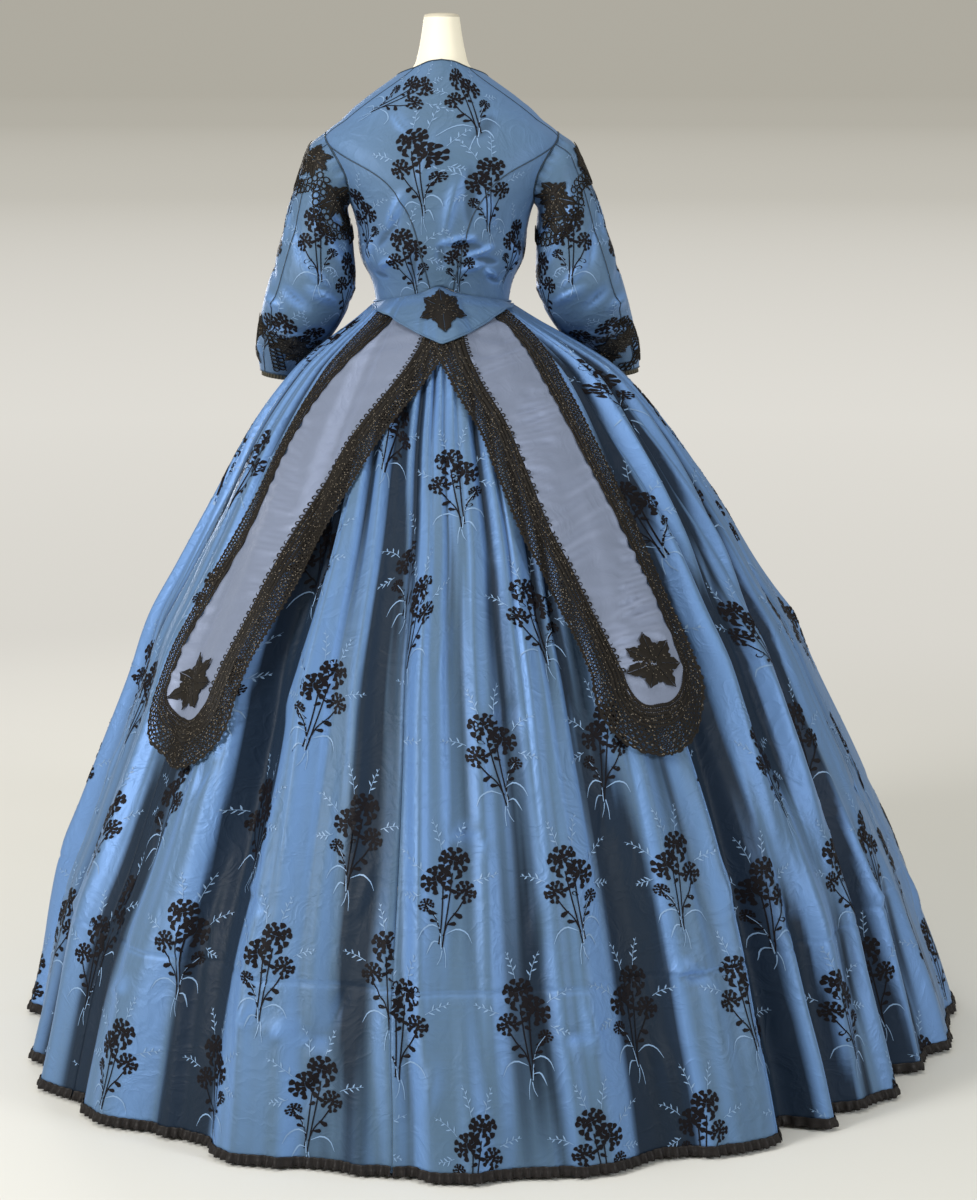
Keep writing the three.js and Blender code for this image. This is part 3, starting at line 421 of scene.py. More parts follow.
def sleeve_face(side):
    """The sleeve with its creases, at a = side * turn and b = -row, so that up is upwards."""
    def face(a, b):
        turn, row = matched(side * np.asarray(a, float), -np.asarray(b, float))
        base = sleeve(side, turn, row)
        middle = (sleeve(side, turn + 180, row) + base) / 2
        rise = creased(SLEEVE_CREASES, turn, row, TURN_DEGREE, ROW_LENGTH)
        rise = SLEEVE_CREASE * rise * smooth(row / 0.8)
        fullness = 1.2 * np.cos(rad(turn * 14)) * np.exp(-(row / 0.5) ** 2)
        return base + unit(base - middle) * (rise + fullness)[..., None]
    return face


def place(f, a0, b0, x, y, turn, steps):
    """The (a, b) of flat places x, y in millimetres round (a0, b0) on surface f."""
    da, db = steps
    centre = f(np.array(a0), np.array(b0))
    along_a = (f(np.array(a0 + da), np.array(b0)) - centre) / da
    along_b = (f(np.array(a0), np.array(b0 + db)) - centre) / db
    up = unit(along_b)
    side = unit(np.cross(up, np.cross(along_a, along_b)))
    c, s = cos_sin(turn)
    flat = np.outer(x * c - y * s, side) + np.outer(x * s + y * c, up)
    shift = flat @ np.linalg.pinv(np.array([along_a, along_b]))
    return a0 + shift[:, 0], b0 + shift[:, 1]


# ---- meshes --------------------------------------------------------------------------------


def finish_piece(obj, nodes, materials):
    """Gives a piece its finish and its place in the frame."""
    for material in materials:
        obj.data.materials.append(material)
    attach(obj, "root")
    if nodes:
        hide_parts(*nodes)
    return obj


def new_mesh(name, points, faces, kinds=None, uv=None):
    """A mesh object from points in millimetres and faces, all with as many corners."""
    faces = np.asarray(faces, np.int32)
    count, corners = faces.shape
    mesh = bpy.data.meshes.new(name)
    mesh.vertices.add(len(points))
    mesh.vertices.foreach_set("co", (np.asarray(points) * MM).astype(np.float32).ravel())
    mesh.loops.add(count * corners)
    mesh.loops.foreach_set("vertex_index", faces.ravel())
    mesh.polygons.add(count)
    mesh.polygons.foreach_set("loop_start", np.arange(0, count * corners, corners, np.int32))
    mesh.polygons.foreach_set("use_smooth", np.ones(count, bool))
    if kinds is not None:
        mesh.polygons.foreach_set("material_index", np.asarray(kinds, np.int32))
    if uv is not None:
        layer = mesh.uv_layers.new(name="cloth")
        layer.uv.foreach_set("vector", (uv[faces.ravel()] * MM).astype(np.float32).ravel())
    mesh.update()
    mesh.validate()
    obj = bpy.data.objects.new(name, mesh)
    bpy.context.collection.objects.link(obj)
    return obj


def apply_modifier(obj, kind, **settings):
    bpy.ops.object.select_all(action="DESELECT")
    bpy.context.view_layer.objects.active = obj
    obj.select_set(True)
    modifier = obj.modifiers.new(kind.title(), kind)
    for name, value in settings.items():
        setattr(modifier, name, value)
    bpy.ops.object.modifier_apply(modifier=modifier.name)


def lengths(grid):
    """(the widest row, the longest column, the area) of a grid of points, in millimetres."""
    across = np.linalg.norm(np.diff(grid, axis=1), axis=2).sum(1).max()
    along = np.linalg.norm(np.diff(grid, axis=0), axis=2).sum(0).max()
    p, q, r, s = grid[:-1, :-1], grid[:-1, 1:], grid[1:, 1:], grid[1:, :-1]
    area = (np.linalg.norm(np.cross(q - p, r - p), axis=2).sum()
            + np.linalg.norm(np.cross(r - p, s - p), axis=2).sum()) / 2
    return across, along, area


def grid_faces(rows, columns):
    r, c = np.meshgrid(np.arange(rows - 1), np.arange(columns - 1), indexing="ij")
    first = (r * columns + c).ravel()
    return np.stack([first, first + 1, first + 1 + columns, first + columns], -1)


def cloth_uv(grid):
    """Flat places of a grid's points, in millimetres, from its own row and column lengths."""
    across = np.concatenate([np.zeros((len(grid), 1)), np.cumsum(
        np.linalg.norm(np.diff(grid, axis=1), axis=2), axis=1)], axis=1)
    across -= across[:, -1:] / 2
    along = np.concatenate([np.zeros((1, grid.shape[1])), np.cumsum(
        np.linalg.norm(np.diff(grid, axis=0), axis=2), axis=0)])
    return np.stack([across, along], -1).reshape(-1, 2)


def cloth(name, grid, material, held, rests_on, turned=None, valley=None, thickness=0.5,
          with_pieces=()):
    """A thin sheet through a grid of points, with its own flat sizes worked out."""
    obj = new_mesh(name + "_cloth", grid.reshape(-1, 3), grid_faces(*grid.shape[:2]),
                   uv=cloth_uv(grid))
    # Per point, the share of painted sheen and of painted fold shade that the silk lays on
    for word, values in (("turned", turned), ("valley", valley)):
        values = np.zeros(grid.shape[:2]) if values is None else values
        obj.data.attributes.new(word, "FLOAT", "POINT").data.foreach_set(
            "value", values.astype(np.float32).ravel())
    apply_modifier(obj, "SOLIDIFY", thickness=thickness * MM, offset=-1)
    finish_piece(obj, [name], [material])
    declare(obj, *lengths(grid), held, rests_on, with_pieces)


# The area is worked out as this share of the measured one, to stay under the rounded width and
# length
AREA_MARGIN = 0.9995


def declare(obj, width, length, area, held, rests_on, with_pieces=()):
    """Works out a sheet's flat cut, rounded, from sizes in millimetres, and keeps none of it."""
    round(width * MM, 4)
    round(length * MM, 4)
    list(rests_on)
    round(area * MM * MM * AREA_MARGIN, 6)
    list(with_pieces)


def tube(name, points, radius, nodes, material, closed=False, sides=8):
    """A round silk cord through points in millimetres."""
    points = np.asarray(points, float)
    if closed:
        tangent = unit(np.roll(points, -1, 0) - np.roll(points, 1, 0))
    else:
        tangent = unit(np.gradient(points, axis=0))
    up = np.where(np.abs(tangent[:, 2:3]) < 0.9, (0, 0, 1.0), (0, 1.0, 0))
    side = unit(np.cross(up, tangent))
    up = np.cross(tangent, side)
    turn = np.linspace(0, 2 * np.pi, sides, endpoint=False)[None, :, None]
    rings = points[:, None] + radius * (np.cos(turn) * side[:, None] + np.sin(turn) * up[:, None])
    n = len(points)
    r, c = np.meshgrid(np.arange(n if closed else n - 1), np.arange(sides), indexing="ij")
    a, b = (r % n) * sides, ((r + 1) % n) * sides
    faces = np.stack([a + c, b + c, b + (c + 1) % sides, a + (c + 1) % sides], -1).reshape(-1, 4)
    rings = rings.reshape(-1, 3)
    if not closed:
        rings = np.concatenate([rings, points[:1], points[-1:]])
        ends = [(len(rings) - 2, k, (k + 1) % sides) for k in range(sides)]
        last = (n - 1) * sides
        ends += [(len(rings) - 1, last + (k + 1) % sides, last + k) for k in range(sides)]
        faces = np.concatenate([faces[:, [0, 1, 2]], faces[:, [0, 2, 3]], ends])
    finish_piece(new_mesh(name + "_cord", rings, faces), nodes, [material])


def strips(rows, n, closed=False):
    """The triangles between rows of n points each, which may run round."""
    faces = []
    for k in range(rows - 1):
        for i in range(n if closed else n - 1):
            a, b = k * n + i, k * n + (i + 1) % n
            faces += [(a, b, b + n), (a, b + n, a + n)]
    return faces


class Shapes:
    """Flat shapes in millimetres, each point with its lift off the ground it lies on."""

    def __init__(self):
        self.points, self.faces, self.kinds, self.count = [], [], [], 0

    def add(self, points, faces, kind=0):
        points = np.asarray(points, float)
        if points.shape[1] == 2:
            points = np.column_stack([points, np.zeros(len(points))])
        self.points.append(points)
        self.faces += [tuple(i + self.count for i in face) for face in faces]
        self.kinds += [kind] * len(faces)
        self.count += len(points)

    def ring(self, x, y, outer, inner, sides, lift):
        turn = np.linspace(0, 2 * np.pi, sides, endpoint=False)
        rows = [(outer, 0), ((outer + inner) / 2, lift), (inner, 0)]
        points = np.concatenate([np.column_stack([
            x + r * np.cos(turn), y + r * np.sin(turn), np.full(sides, h)]) for r, h in rows])
        self.add(points, strips(3, sides, closed=True))

    def dot(self, x, y, radius, lift):
        sides = 7
        turn = np.linspace(0, 2 * np.pi, sides, endpoint=False)
        points = [(x + radius * math.cos(t), y + radius * math.sin(t), 0) for t in turn]
        self.add(points + [(x, y, lift)],
                 [(i, (i + 1) % sides, sides) for i in range(sides)])

    def band(self, points, widths, kind):
        """A flat ribbon along a line."""
        points = np.asarray(points, float)
        widths = np.broadcast_to(widths, len(points))[:, None] / 2
        along = unit(np.gradient(points, axis=0))
        side = np.column_stack([-along[:, 1], along[:, 0]]) * widths
        self.add(np.concatenate([points + side, points, points - side]),
                 [face[::-1] for face in strips(3, len(points))], kind)

    def leaf(self, x, y, turn, length, width):
        """A pointed leaf with a toothed edge and a vein."""
        lift, teeth, steps = 0.9, 0.16, 8
        t = np.linspace(0, 1, steps + 1)
        half = width / 2 * np.sin(np.pi * t ** 0.85) * (1 + teeth * (-1) ** np.arange(steps + 1))
        half[0], half[-1] = width * 0.12, 0
        c, s = cos_sin(turn)
        for sign in (1, -1):
            rows = []
            for offset, height in ((0.35 * np.ones(steps + 1), 0.2), (half * 0.45 + 0.2, 1.0),
                                   (half + 0.2, 0)):
                u, v = t * length, sign * offset
                rows.append(np.column_stack([x + u * c - v * s, y + u * s + v * c,
                                             np.full(steps + 1, height * lift)]))
            faces = [face[::sign] for face in strips(3, steps + 1)]
            self.add(np.concatenate(rows), faces)

    def arrays(self):
        return np.concatenate(self.points), np.array(self.faces), np.array(self.kinds)

    def size(self):
        """(width, length) of all the shapes together."""
        return np.ptp(np.concatenate(self.points)[:, :2], axis=0)


def stamped(f, shapes, places, lift, steps=NEAR, keep=None):
    """Copies of flat shapes laid on surface f. A place is (a, b, turn, size, mirrored)."""
    points, faces, kinds = shapes.arrays()
    lots = []
    for a0, b0, turn, size, mirror in places:
        x = points[:, 0] * size * (-1 if mirror else 1)
        a, b = place(f, a0, b0, x, points[:, 1] * size, turn, steps)
        here, sort = (faces[:, ::-1] if mirror else faces), kinds
        if keep is not None:
            inside = keep(a[faces].mean(1), b[faces].mean(1))
            here, sort = here[inside], kinds[inside]
        if not len(here):
            continue
        used, here = np.unique(here, return_inverse=True)
        here = here.reshape(-1, 3)
        lots.append((lifted(f, a[used], b[used], lift + points[used, 2] * size, steps), here,
                     sort))
    return merged(lots) if lots else None


def merged(lots):
    """One (points, triangles, kinds) from several."""
    starts = np.cumsum([0] + [len(points) for points, *_ in lots])
    return (np.concatenate([lot[0] for lot in lots]),
            np.concatenate([lot[1] + start for lot, start in zip(lots, starts)]),
            np.concatenate([lot[2] for lot in lots]))


SPRAY_LIFT = 0.6


def sprays_piece(name, lot):
    """The flower sprays that are woven in a sheet, as a piece beside it."""
    return finish_piece(new_mesh("sprays_" + name, *lot), [], spray_threads())


def lace_piece(name, lots):
    return finish_piece(new_mesh(name + "_thread", *merged(lots)), [name], lace_threads())


def mesh_area(obj):
    return sum(polygon.area for polygon in obj.data.polygons) / MM / MM


# ---- materials -----------------------------------------------------------------------------


class Wire:
    """A node's socket. Arithmetic on it adds Math nodes, and node() adds any other kind."""

    def __init__(self, tree, socket=None):
        self.tree, self.socket = tree, socket

    def node(self, kind, settings=None, links=None, out=0):
        """A new node's output, after its settings, and its inputs from links or values."""
        made = self.tree.nodes.new("ShaderNode" + kind)
        for name, value in (settings or {}).items():
            if name == "stops":
                ramp = made.color_ramp
                while len(ramp.elements) < len(value):
                    ramp.elements.new(1)
                for element, (position, shade) in zip(ramp.elements, value):
                    element.position = position
                    element.color = (*shade, 1) if len(shade) == 3 else (*shade * 3, 1)
            else:
                setattr(made, name, value)
        for name, value in (links or {}).items():
            if isinstance(value, Wire):
                self.tree.links.new(value.socket, made.inputs[name])
            else:
                made.inputs[name].default_value = value
        return Wire(self.tree, made.outputs[out] if len(made.outputs) else None)

    def noise(self, scale, detail, at=None, **more):
        """Noise at the places `at`, or at the object's own coordinates."""
        return self.node("TexNoise", None, {
            "Vector": at or self.node("TexCoord", out=3), "Scale": scale, "Detail": detail, **more})

    def shader(self, **links):
        """A Principled shader. An underscore in a keyword stands for a space."""
        return self.node("BsdfPrincipled", None,
                         {name.replace("_", " "): value for name, value in links.items()})

    def maths(self, operation, *values, clamp=False):
        return self.node("Math", {"operation": operation, "use_clamp": clamp},
                         dict(enumerate(values)))

    def __add__(self, other):
        return self.maths("ADD", self, other)

    def __sub__(self, other):
        return self.maths("SUBTRACT", self, other)

    def __rsub__(self, other):
        return self.maths("SUBTRACT", other, self)

    def __mul__(self, other):
        return self.maths("MULTIPLY", self, other)

    def __pow__(self, other):
        return self.maths("POWER", self, other)

    def held(self):
        """The value kept between 0 and 1."""
        return self.maths("ADD", self, 0.0, clamp=True)


def blend(start, amount, a, b):
    """A colour between a and b."""
    def colour(v):
        return v if isinstance(v, Wire) else (*v, 1)
    return start.node("Mix", {"data_type": "RGBA"},
                      {"Factor": amount, 6: colour(a), 7: colour(b)}, out=2)


def begin(name):
    material = bpy.data.materials.get(name) or bpy.data.materials.new(name)
    material.use_nodes = True
    material.node_tree.nodes.clear()
    return material, Wire(material.node_tree)


def close(start, shader):
    start.node("OutputMaterial", None, {"Surface": shader})


def woven(start, crumple):
    """The bump of a taffeta's fine ribs and of its crisp small dents."""
    flat = start.node("UVMap", {"uv_map": "cloth"})
    ribs = start.node("TexWave", {"bands_direction": "Y"},
                      {"Vector": flat, "Scale": 520.0, "Distortion": 1.2, "Detail": 2.0},
                      out=1)
    slubs = start.noise(1.0, 3.0, start.node("Mapping", None, {"Vector": flat,
                                                               "Scale": (14, 260, 1)}))
    dents = start.noise(22.0, 3.0, Distortion=1.1)
    ridges = 1 - start.maths("ABSOLUTE", dents * 2 - 1)
    height = ribs * 0.00003 + slubs * 0.00006 + ridges ** 3 * (0.0011 * crumple)
    return start.node("Bump", None, {"Strength": 0.8, "Distance": 1.0, "Height": height}), slubs


# The shine's share of a silk stops rising at one part in this many
MOST_SHINE = 2.6


def shot_silk(name, colours, crumple=1.0, gloss=0.6):
    """Taffeta woven of two colours: dull where it faces. The vivid blue where it turns is painted
    sheen, read off the shape, and the hollows of its folds get painted shade.
    """
    facing, sheen_colour, deep = colours
    material, start = begin(name)
    bump, slubs = woven(start, crumple=crumple)
    # Painted sheen: how far the surface turns from its plain form, stored on each point
    turned = start.node("Attribute", {"attribute_name": "turned"}, out=2)
    # Painted shade: how far each point lies down in a fold
    valley = start.node("Attribute", {"attribute_name": "valley"}, out=2)
    cloudy = start.noise(5.0, 2.0)
    # Painted sheen: the vivid colour laid where the surface turns
    base = blend(start, turned * 0.8, facing, sheen_colour)
    base = blend(start, (cloudy * 0.5 + slubs * 0.35 - 0.3).held() * 0.4, base, sheen_colour)
    # Painted shade: fold hollows darkened towards the shade colour
    base = blend(start, (valley * 0.95).held(), base, deep)
    body = start.shader(Base_Color=base, Roughness=slubs * 0.2 + 0.42, Specular_IOR_Level=0.14,
                        Normal=bump)
    shine = start.shader(Base_Color=(*[min(1, c * 1.5 + 0.06) for c in sheen_colour], 1),
                         Roughness=0.5, Metallic=0.75, Normal=bump)
    edge = start.node("LayerWeight", None, {"Blend": 0.36}, out=1)
    # The gloss grows with the painted sheen and is held back in the painted fold shade
    amount = edge ** 1.5 * gloss + turned * 0.24 + 0.04
    amount = (amount * MOST_SHINE).held() * (1 - valley).held() * (1 / MOST_SHINE)
    close(start, start.node("MixShader", None, {0: amount.held(), 1: body, 2: shine}))
    return material


def thread(name, colour, roughness=0.5, grain=900.0, shine=0.3):
    """Silk thread or yarn: a colour that varies along it, with a fine twist."""
    material, start = begin(name)
    noise = start.noise(grain, 2.0)
    base = blend(start, noise, [c * 0.7 for c in colour], [c * 1.3 for c in colour])
    bump = start.node("Bump", None, {"Strength": 0.5, "Distance": 0.0004, "Height": noise})
    close(start, start.shader(Base_Color=base, Roughness=noise * 0.2 + (roughness - 0.1),
                              Specular_IOR_Level=shine, Normal=bump))
    return material


def floss(name, colour, roughness=0.55, shine=0.14):
    """Embroidery or lace thread, the same all over."""
    material, start = begin(name)
    close(start, start.shader(Base_Color=(*colour, 1), Roughness=roughness,
                              Specular_IOR_Level=shine))
    return material


# ---- sizes and colours that a user may change ----------------------------------------------


class DressSizes(bpy.types.PropertyGroup):
    """Sizes of the dress's smaller details."""
    pleats: IntProperty(name="Waist pleats", description="Small pleats let into the waist",
                        default=84, min=24, max=160)
    spray_size: FloatProperty(name="Spray size", description="Size of the brocaded flower sprays",
                              default=1.0, min=0.5, max=1.5)
    spray_gap: FloatProperty(name="Spray spacing", description="Spacing of the sprays in a row",
                             default=0.152, unit="LENGTH")
    piping: FloatProperty(name="Piping", description="Radius of the piping", default=0.0014,
                          unit="LENGTH")
    ruffle_pleat: FloatProperty(name="Ruffle pleat", description="Width of one box pleat",
                                default=0.012, unit="LENGTH")


def shade(name, description, colour):
    return FloatVectorProperty(name=name, description=description, default=colour,
                               subtype="COLOR", size=3, min=0, max=1)


class DressColours(bpy.types.PropertyGroup):
    """Colours of the silks, the lace and the form."""
    facing: shade("Silk", "The silk where it faces", (0.074, 0.130, 0.198))
    # Painted sheen: the vivid blue laid where the silk turns
    turned: shade("Silk, turned", "The silk where it turns", (0.108, 0.225, 0.470))
    # Painted shade: the colour laid in the hollows of the folds
    deep: shade("Silk, deep", "The silk in its deepest folds", (0.006, 0.013, 0.026))
    spray: shade("Spray", "The dark flowers", (0.005, 0.004, 0.006))
    frond: shade("Frond", "The pale fronds and leaves", (0.190, 0.310, 0.500))
    plain: shade("Plain silk", "The tabs' silk", (0.150, 0.180, 0.255))
    # Painted sheen of the tabs' silk where it turns
    plain_turned: shade("Plain silk, turned", "The tabs' silk where it turns", (0.20, 0.24, 0.35))
    lace: shade("Lace", "The lace's thread", (0.011, 0.009, 0.007))
    # Painted highlight: lighter specks laid on the lace as if its thread caught the light
    glint: shade("Lace, glints", "The lace's thread where it catches the light",
                 (0.185, 0.160, 0.125))
    ribbon: shade("Ribbon", "The hem's ribbon", (0.012, 0.010, 0.010))
    frill: shade("Frill", "The frills inside the cuffs", (0.050, 0.042, 0.022))
    form: shade("Form", "The form's cover", (0.86, 0.81, 0.66))


def sizes():
    return bpy.context.scene.dress_sizes


def colours():
    return bpy.context.scene.dress_colours


def once(make, name, *rest, **settings):
    """The material of this name, made when it is first asked for."""
    return bpy.data.materials.get(name) or make(name, *rest, **settings)


def silk():
    c = colours()
    return once(shot_silk, "brocade ground", (c.facing, c.turned, c.deep))


def plain_silk():
    c = colours()
    return once(shot_silk, "plain taffeta", (c.plain, c.plain_turned, c.deep), 0.5, 0.35)


def lace_threads():
    c = colours()
    # The second material is the lace's painted highlights
    return [once(floss, "lace thread", c.lace), once(floss, "lace glints", c.glint, 0.4)]


def spray_threads():
    c = colours()
    return [once(floss, "dark floss", c.spray, 0.6, 0.12),
            once(floss, "pale floss", c.frond, 0.45, 0.3)]


def ribbon_silk():
    return once(thread, "ribbon silk", colours().ribbon, grain=300.0, shine=0.2)


def frill_silk():
    return once(thread, "frill silk", colours().frill, grain=500.0)


def cord_silk():
    return once(thread, "seam cord", [v * 0.35 for v in colours().facing])


# ---- the sprays ----------------------------------------------------------------------------
DARK, PALE = 0, 1


def petal(shapes, x, y, turn, length, width):
    c, s = cos_sin(turn)
    flat = np.array([(0, 0), (0.4, 0.36), (0.8, 0.5), (1, 0.16), (1, -0.16), (0.8, -0.5),
                     (0.4, -0.36)]) * (length, width)
    points = np.column_stack([x + flat[:, 0] * c - flat[:, 1] * s,
                              y + flat[:, 0] * s + flat[:, 1] * c])
    shapes.add(points, [(i + 1, i, 0) for i in range(1, 6)], DARK)


# The rings of a flower head: petals, distance out, petal's length, reach in degrees to each side
HEAD_RINGS, HEAD_SQUASH = ((10, 0.60, 0.42, 152), (7, 0.28, 0.40, 150), (4, 0.02, 0.34, 130)), 0.86


def bloom(shapes, x, y, radius, turn, seed):
    """A close flower head: plump petals in three rings, open a little on its stem's side."""
    draw = np.random.default_rng(seed)
    for count, out, length, reach in HEAD_RINGS:
        for i in range(count):
            lean = turn + reach * (2 * (i + 0.36 * draw.random() - 0.18) / (count - 1) - 1)
            c, s = cos_sin(lean)
            start = radius * out * (0.9 + 0.2 * draw.random())
            petal(shapes, x + start * c, y + start * HEAD_SQUASH * s, lean,
                  radius * length * (0.86 + 0.28 * draw.random()),
                  radius * (0.38 + 0.08 * draw.random()))


def frond(shapes, x, y, turn, length, bend):
    """A pale fern frond: a zigzag of small dashes along a rib."""
    dashes = 6
    ways = np.radians(turn + bend * np.linspace(-1, 1, dashes + 1))
    rib = np.array([x, y]) + np.concatenate([[(0, 0)], np.cumsum(np.column_stack(
        [np.cos(ways), np.sin(ways)]) * length / (dashes + 1), axis=0)])
    shapes.band(rib, np.linspace(0.7, 0.4, len(rib)), PALE)
    for i in range(1, dashes + 1):
        size = 7.4 * (1 - i / (dashes + 1)) ** 0.7 + 2
        lean = ways[i] + (0.85 if i % 2 else -0.85)
        tip = rib[i] + size * np.array([math.cos(lean), math.sin(lean)])
        shapes.band([rib[i], (rib[i] + tip) / 2, tip], [0.7, 2.0, 0.5], PALE)


def spray():
    """One spray: close dark heads on pairs of fine stems, pale fronds and curled leaves."""
    shapes = Shapes()
    for stem in ([(9, -62), (5, -34), (0, -4), (-5, 30)], [(13, -58), (10, -34), (8, -8), (7, 14)],
                 [(8, -48), (1, -30), (-9, -18), (-17, -6)], [(11, -44), (16, -26), (24, -14)]):
        shapes.band(through(stem, 9), 1.7, DARK)
    for pale in ([(10, -64), (12, -40), (17, -22), (27, -8)],
                 [(9, -66), (11, -76), (15, -84)], [(7, -62), (5, -74), (5, -88)]):
        shapes.band(through(pale, 8), np.linspace(1.3, 0.6, 9), PALE)
    for seed, head in enumerate(((-7, 45, 20, 98), (15, 22, 19, 70), (-20, 6, 15, 125),
                                 (27, -8, 9, 50)), 1):
        bloom(shapes, *head, seed)
    for x, y, turn, length in ((-7, 22, 150, 12), (-4, 24, 60, 11), (14, -20, 15, 12),
                               (-4, -20, 205, 13), (3, -34, 175, 11), (15, -30, 20, 9),
                               (10, -2, 150, 10), (2, 10, 200, 10)):
        petal(shapes, x, y, turn, length, length * 0.5)
    for x, y, turn, length, bend in ((-12, 62, 112, 36, 8), (8, 60, 74, 40, -8),
                                     (30, 34, 34, 40, -14), (-32, 20, 164, 34, 10),
                                     (34, 6, -12, 24, 12)):
        frond(shapes, x, y, turn, length, bend)
    for curl in ([(11, -38), (22, -33), (32, -39), (37, -51)], [(5, -46), (-9, -40), (-21, -45),
                 (-27, -58)], [(11, -56), (19, -54), (24, -62), (27, -70)]):
        shapes.band(through(curl, 7), [0.5, 1.2, 1.9, 2.1, 1.8, 1.4, 0.9, 0.4], PALE)
    return shapes


# ---- the skirt -----------------------------------------------------------------------------
GORE, CENTRE_SEAM, WAIST_GAP, SEAM = 45, 79.5, 0.8, 0.3
GORES = ("back_left", "back_right", "side_back_right", "side_right", "front_right", "front",
         "front_left", "side_left")
FINE_GORES = ("back_left", "back_right", "side_back_right", "side_left")
FINE_GRID, PLAIN_GRID = (104, 96), (84, 78)
# The sprays' rows: their pitch, the lowest one's height, and how far down each next gore's start
SPRAY_ROWS, LOWEST_SPRAY, SPRAY_SHIFTS = 158, 84, (0, 0.36, 0.7)


def gore_grid(start, columns, rows):
    edge = 0.5 * SEAM / ring_at(500)
    phi = np.linspace(start + edge, start + GORE - edge, columns + 1)[None, :]
    v = np.linspace(0, 1, rows + 1)
    facing = (FACING_Z - HEM_Z) / (WAIST_LEVEL + 10 - HEM_Z)
    v = np.sort(np.concatenate([v, facing + np.array([-9, -5, -2.5, 0, 2.5, 5, 9]) / 1030]))
    top = waist_z(phi) - WAIST_GAP
    phi, z = np.broadcast_arrays(phi, HEM_Z + v[:, None] * (top - HEM_Z))
    return phi, z


def lie_of(f, plain, a, b, steps=NEAR):
    """How far the surface turns away from its plain form, from 0 to 1, which sets the silk's
    painted sheen.
    """
    away = np.cross(normal(f, a, b, steps), normal(plain, a, b, steps))
    return smooth(np.linalg.norm(away, axis=-1) / 0.8)


BESIDE = (1.2, 2.4, 4, 6, 9)


def fold_shade_depth(phi, z):
    """How far a place lies down between the ridges beside it, from 0 to 1: the share of painted
    shade in the skirt's folds.
    """
    def level(beside):
        return fold_rise(beside, z) + pleats(beside, z) + flutes(beside, z)
    here = level(phi)
    left, right = (np.max([level(phi + side * away) for away in BESIDE], axis=0)
                   for side in (-1, 1))
    scale = mix(9, 15, smooth((waist_z(phi) - z - 60) / 420))
    return np.clip(smooth((np.minimum(left, right) - here - 1) / scale)
                   + 0.8 * smooth((left + right - 2 * here) / 110), 0, 1)


class DRESS_OT_skirt(bpy.types.Operator):
    """The skirt's eight gores, with their folds, pleats and creases"""
    bl_idname = "dress.skirt"
    bl_label = "Skirt"

    def execute(self, context):
        shapes = spray()
        for i, name in enumerate(GORES):
            start = CENTRE_SEAM - GORE + i * GORE
            phi, z = gore_grid(start, *(FINE_GRID if name in FINE_GORES else PLAIN_GRID))
            sprays = skirt_sprays(name, start, shapes)
            # Painted sheen where the folds turn, and painted shade in their hollows
            cloth("skirt_" + name, skin(phi, z), silk(), "gathered",
                  ["form_torso"], lie_of(skin, skirt, phi, z), fold_shade_depth(phi, z),
                  with_pieces=[sprays])
        return {"FINISHED"}


def skirt_sprays(name, start, shapes):
    """The gore's sprays, in a half-drop lattice that its seams cut."""
    middle, gap = start + GORE / 2, sizes().spray_gap / MM
    places = []
    shift = SPRAY_SHIFTS[GORES.index(name) % 3] * SPRAY_ROWS
    for j, z in enumerate(np.arange(LOWEST_SPRAY - shift, 1010, SPRAY_ROWS)):
        reach = GORE / 2 * ring_at(z)
        for k in range(-6, 7):
            across = (k + (0.5 if j % 2 else 0)) * gap
            if abs(across) < reach + 50:
                phi = middle + across / ring_at(z)
                lean = 4 * math.sin(3.1 * k + 1.7 * j)
                places.append((phi, z, lean, sizes().spray_size, (j + k) % 2 == 1))

    def keep(a, b):
        return (np.abs(a - middle) < GORE / 2 - 0.15) & (b < waist_z(a) - 6) & (b > HEM_Z + 3)

    return sprays_piece("skirt_" + name, stamped(skin, shapes, places, SPRAY_LIFT, keep=keep))


class DRESS_OT_ruffle(bpy.types.Operator):
    """The box-pleated ribbon round the hem, a length to each gore"""
    bl_idname = "dress.ruffle"
    bl_label = "Hem ruffle"

    def execute(self, context):
        bottom, height, room, reach = 5, 13, 1.0, 3.4
        for i, name in enumerate(GORES):
            start = CENTRE_SEAM - GORE + i * GORE
            span = GORE * ring_at(30)
            pleat_count = round(span / (sizes().ruffle_pleat / MM))
            u = np.linspace(0, 1, pleat_count * 8 + 1)
            phi = start + 0.12 + u * (GORE - 0.24)
            phase = u * pleat_count
            shift = 0.12 * np.sin(phase * 2.3) * np.sin(np.pi * u)
            box = smooth(np.clip(1.6 * np.abs(((phase + shift) % 1) * 2 - 1) - 0.3, 0, 1))
            t = np.linspace(0, 1, 7)[:, None]
            flare = 0.45 + 0.75 * (1 - t) ** 0.8 - 0.35 * np.exp(-((t - 0.72) / 0.09) ** 2)
            wobble = 0.35 * np.sin(phase * 1.7 + 3 * t) * (1 - t)
            level = bottom + t * height + 0.5 * np.sin(phase * 0.9)
            grid = lifted(skin, phi, np.maximum(level, HEM_Z + 0.5), room + box * reach * flare
                          + wobble)
            grid[..., 2] = level
            cloth("hem_ruffle_" + name, grid, ribbon_silk(), "gathered",
                  ["skirt_" + name], thickness=0.35)
        return {"FINISHED"}


# ---- what lies on the skirt ----------------------------------------------------------------
TAB_LEVEL, TAB_RIPPLE = {"left": 1.9, "right": 4.6}, {"left": 1.1, "right": 1.6}
BASQUE_LEVEL, STAR_LEVEL = 7.4, 9.0
PHI_STEP, Z_STEP = 0.5, 4.0
REACH_PHI, REACH_Z = np.arange(0, 181, PHI_STEP), np.arange(420, 1081, Z_STEP)


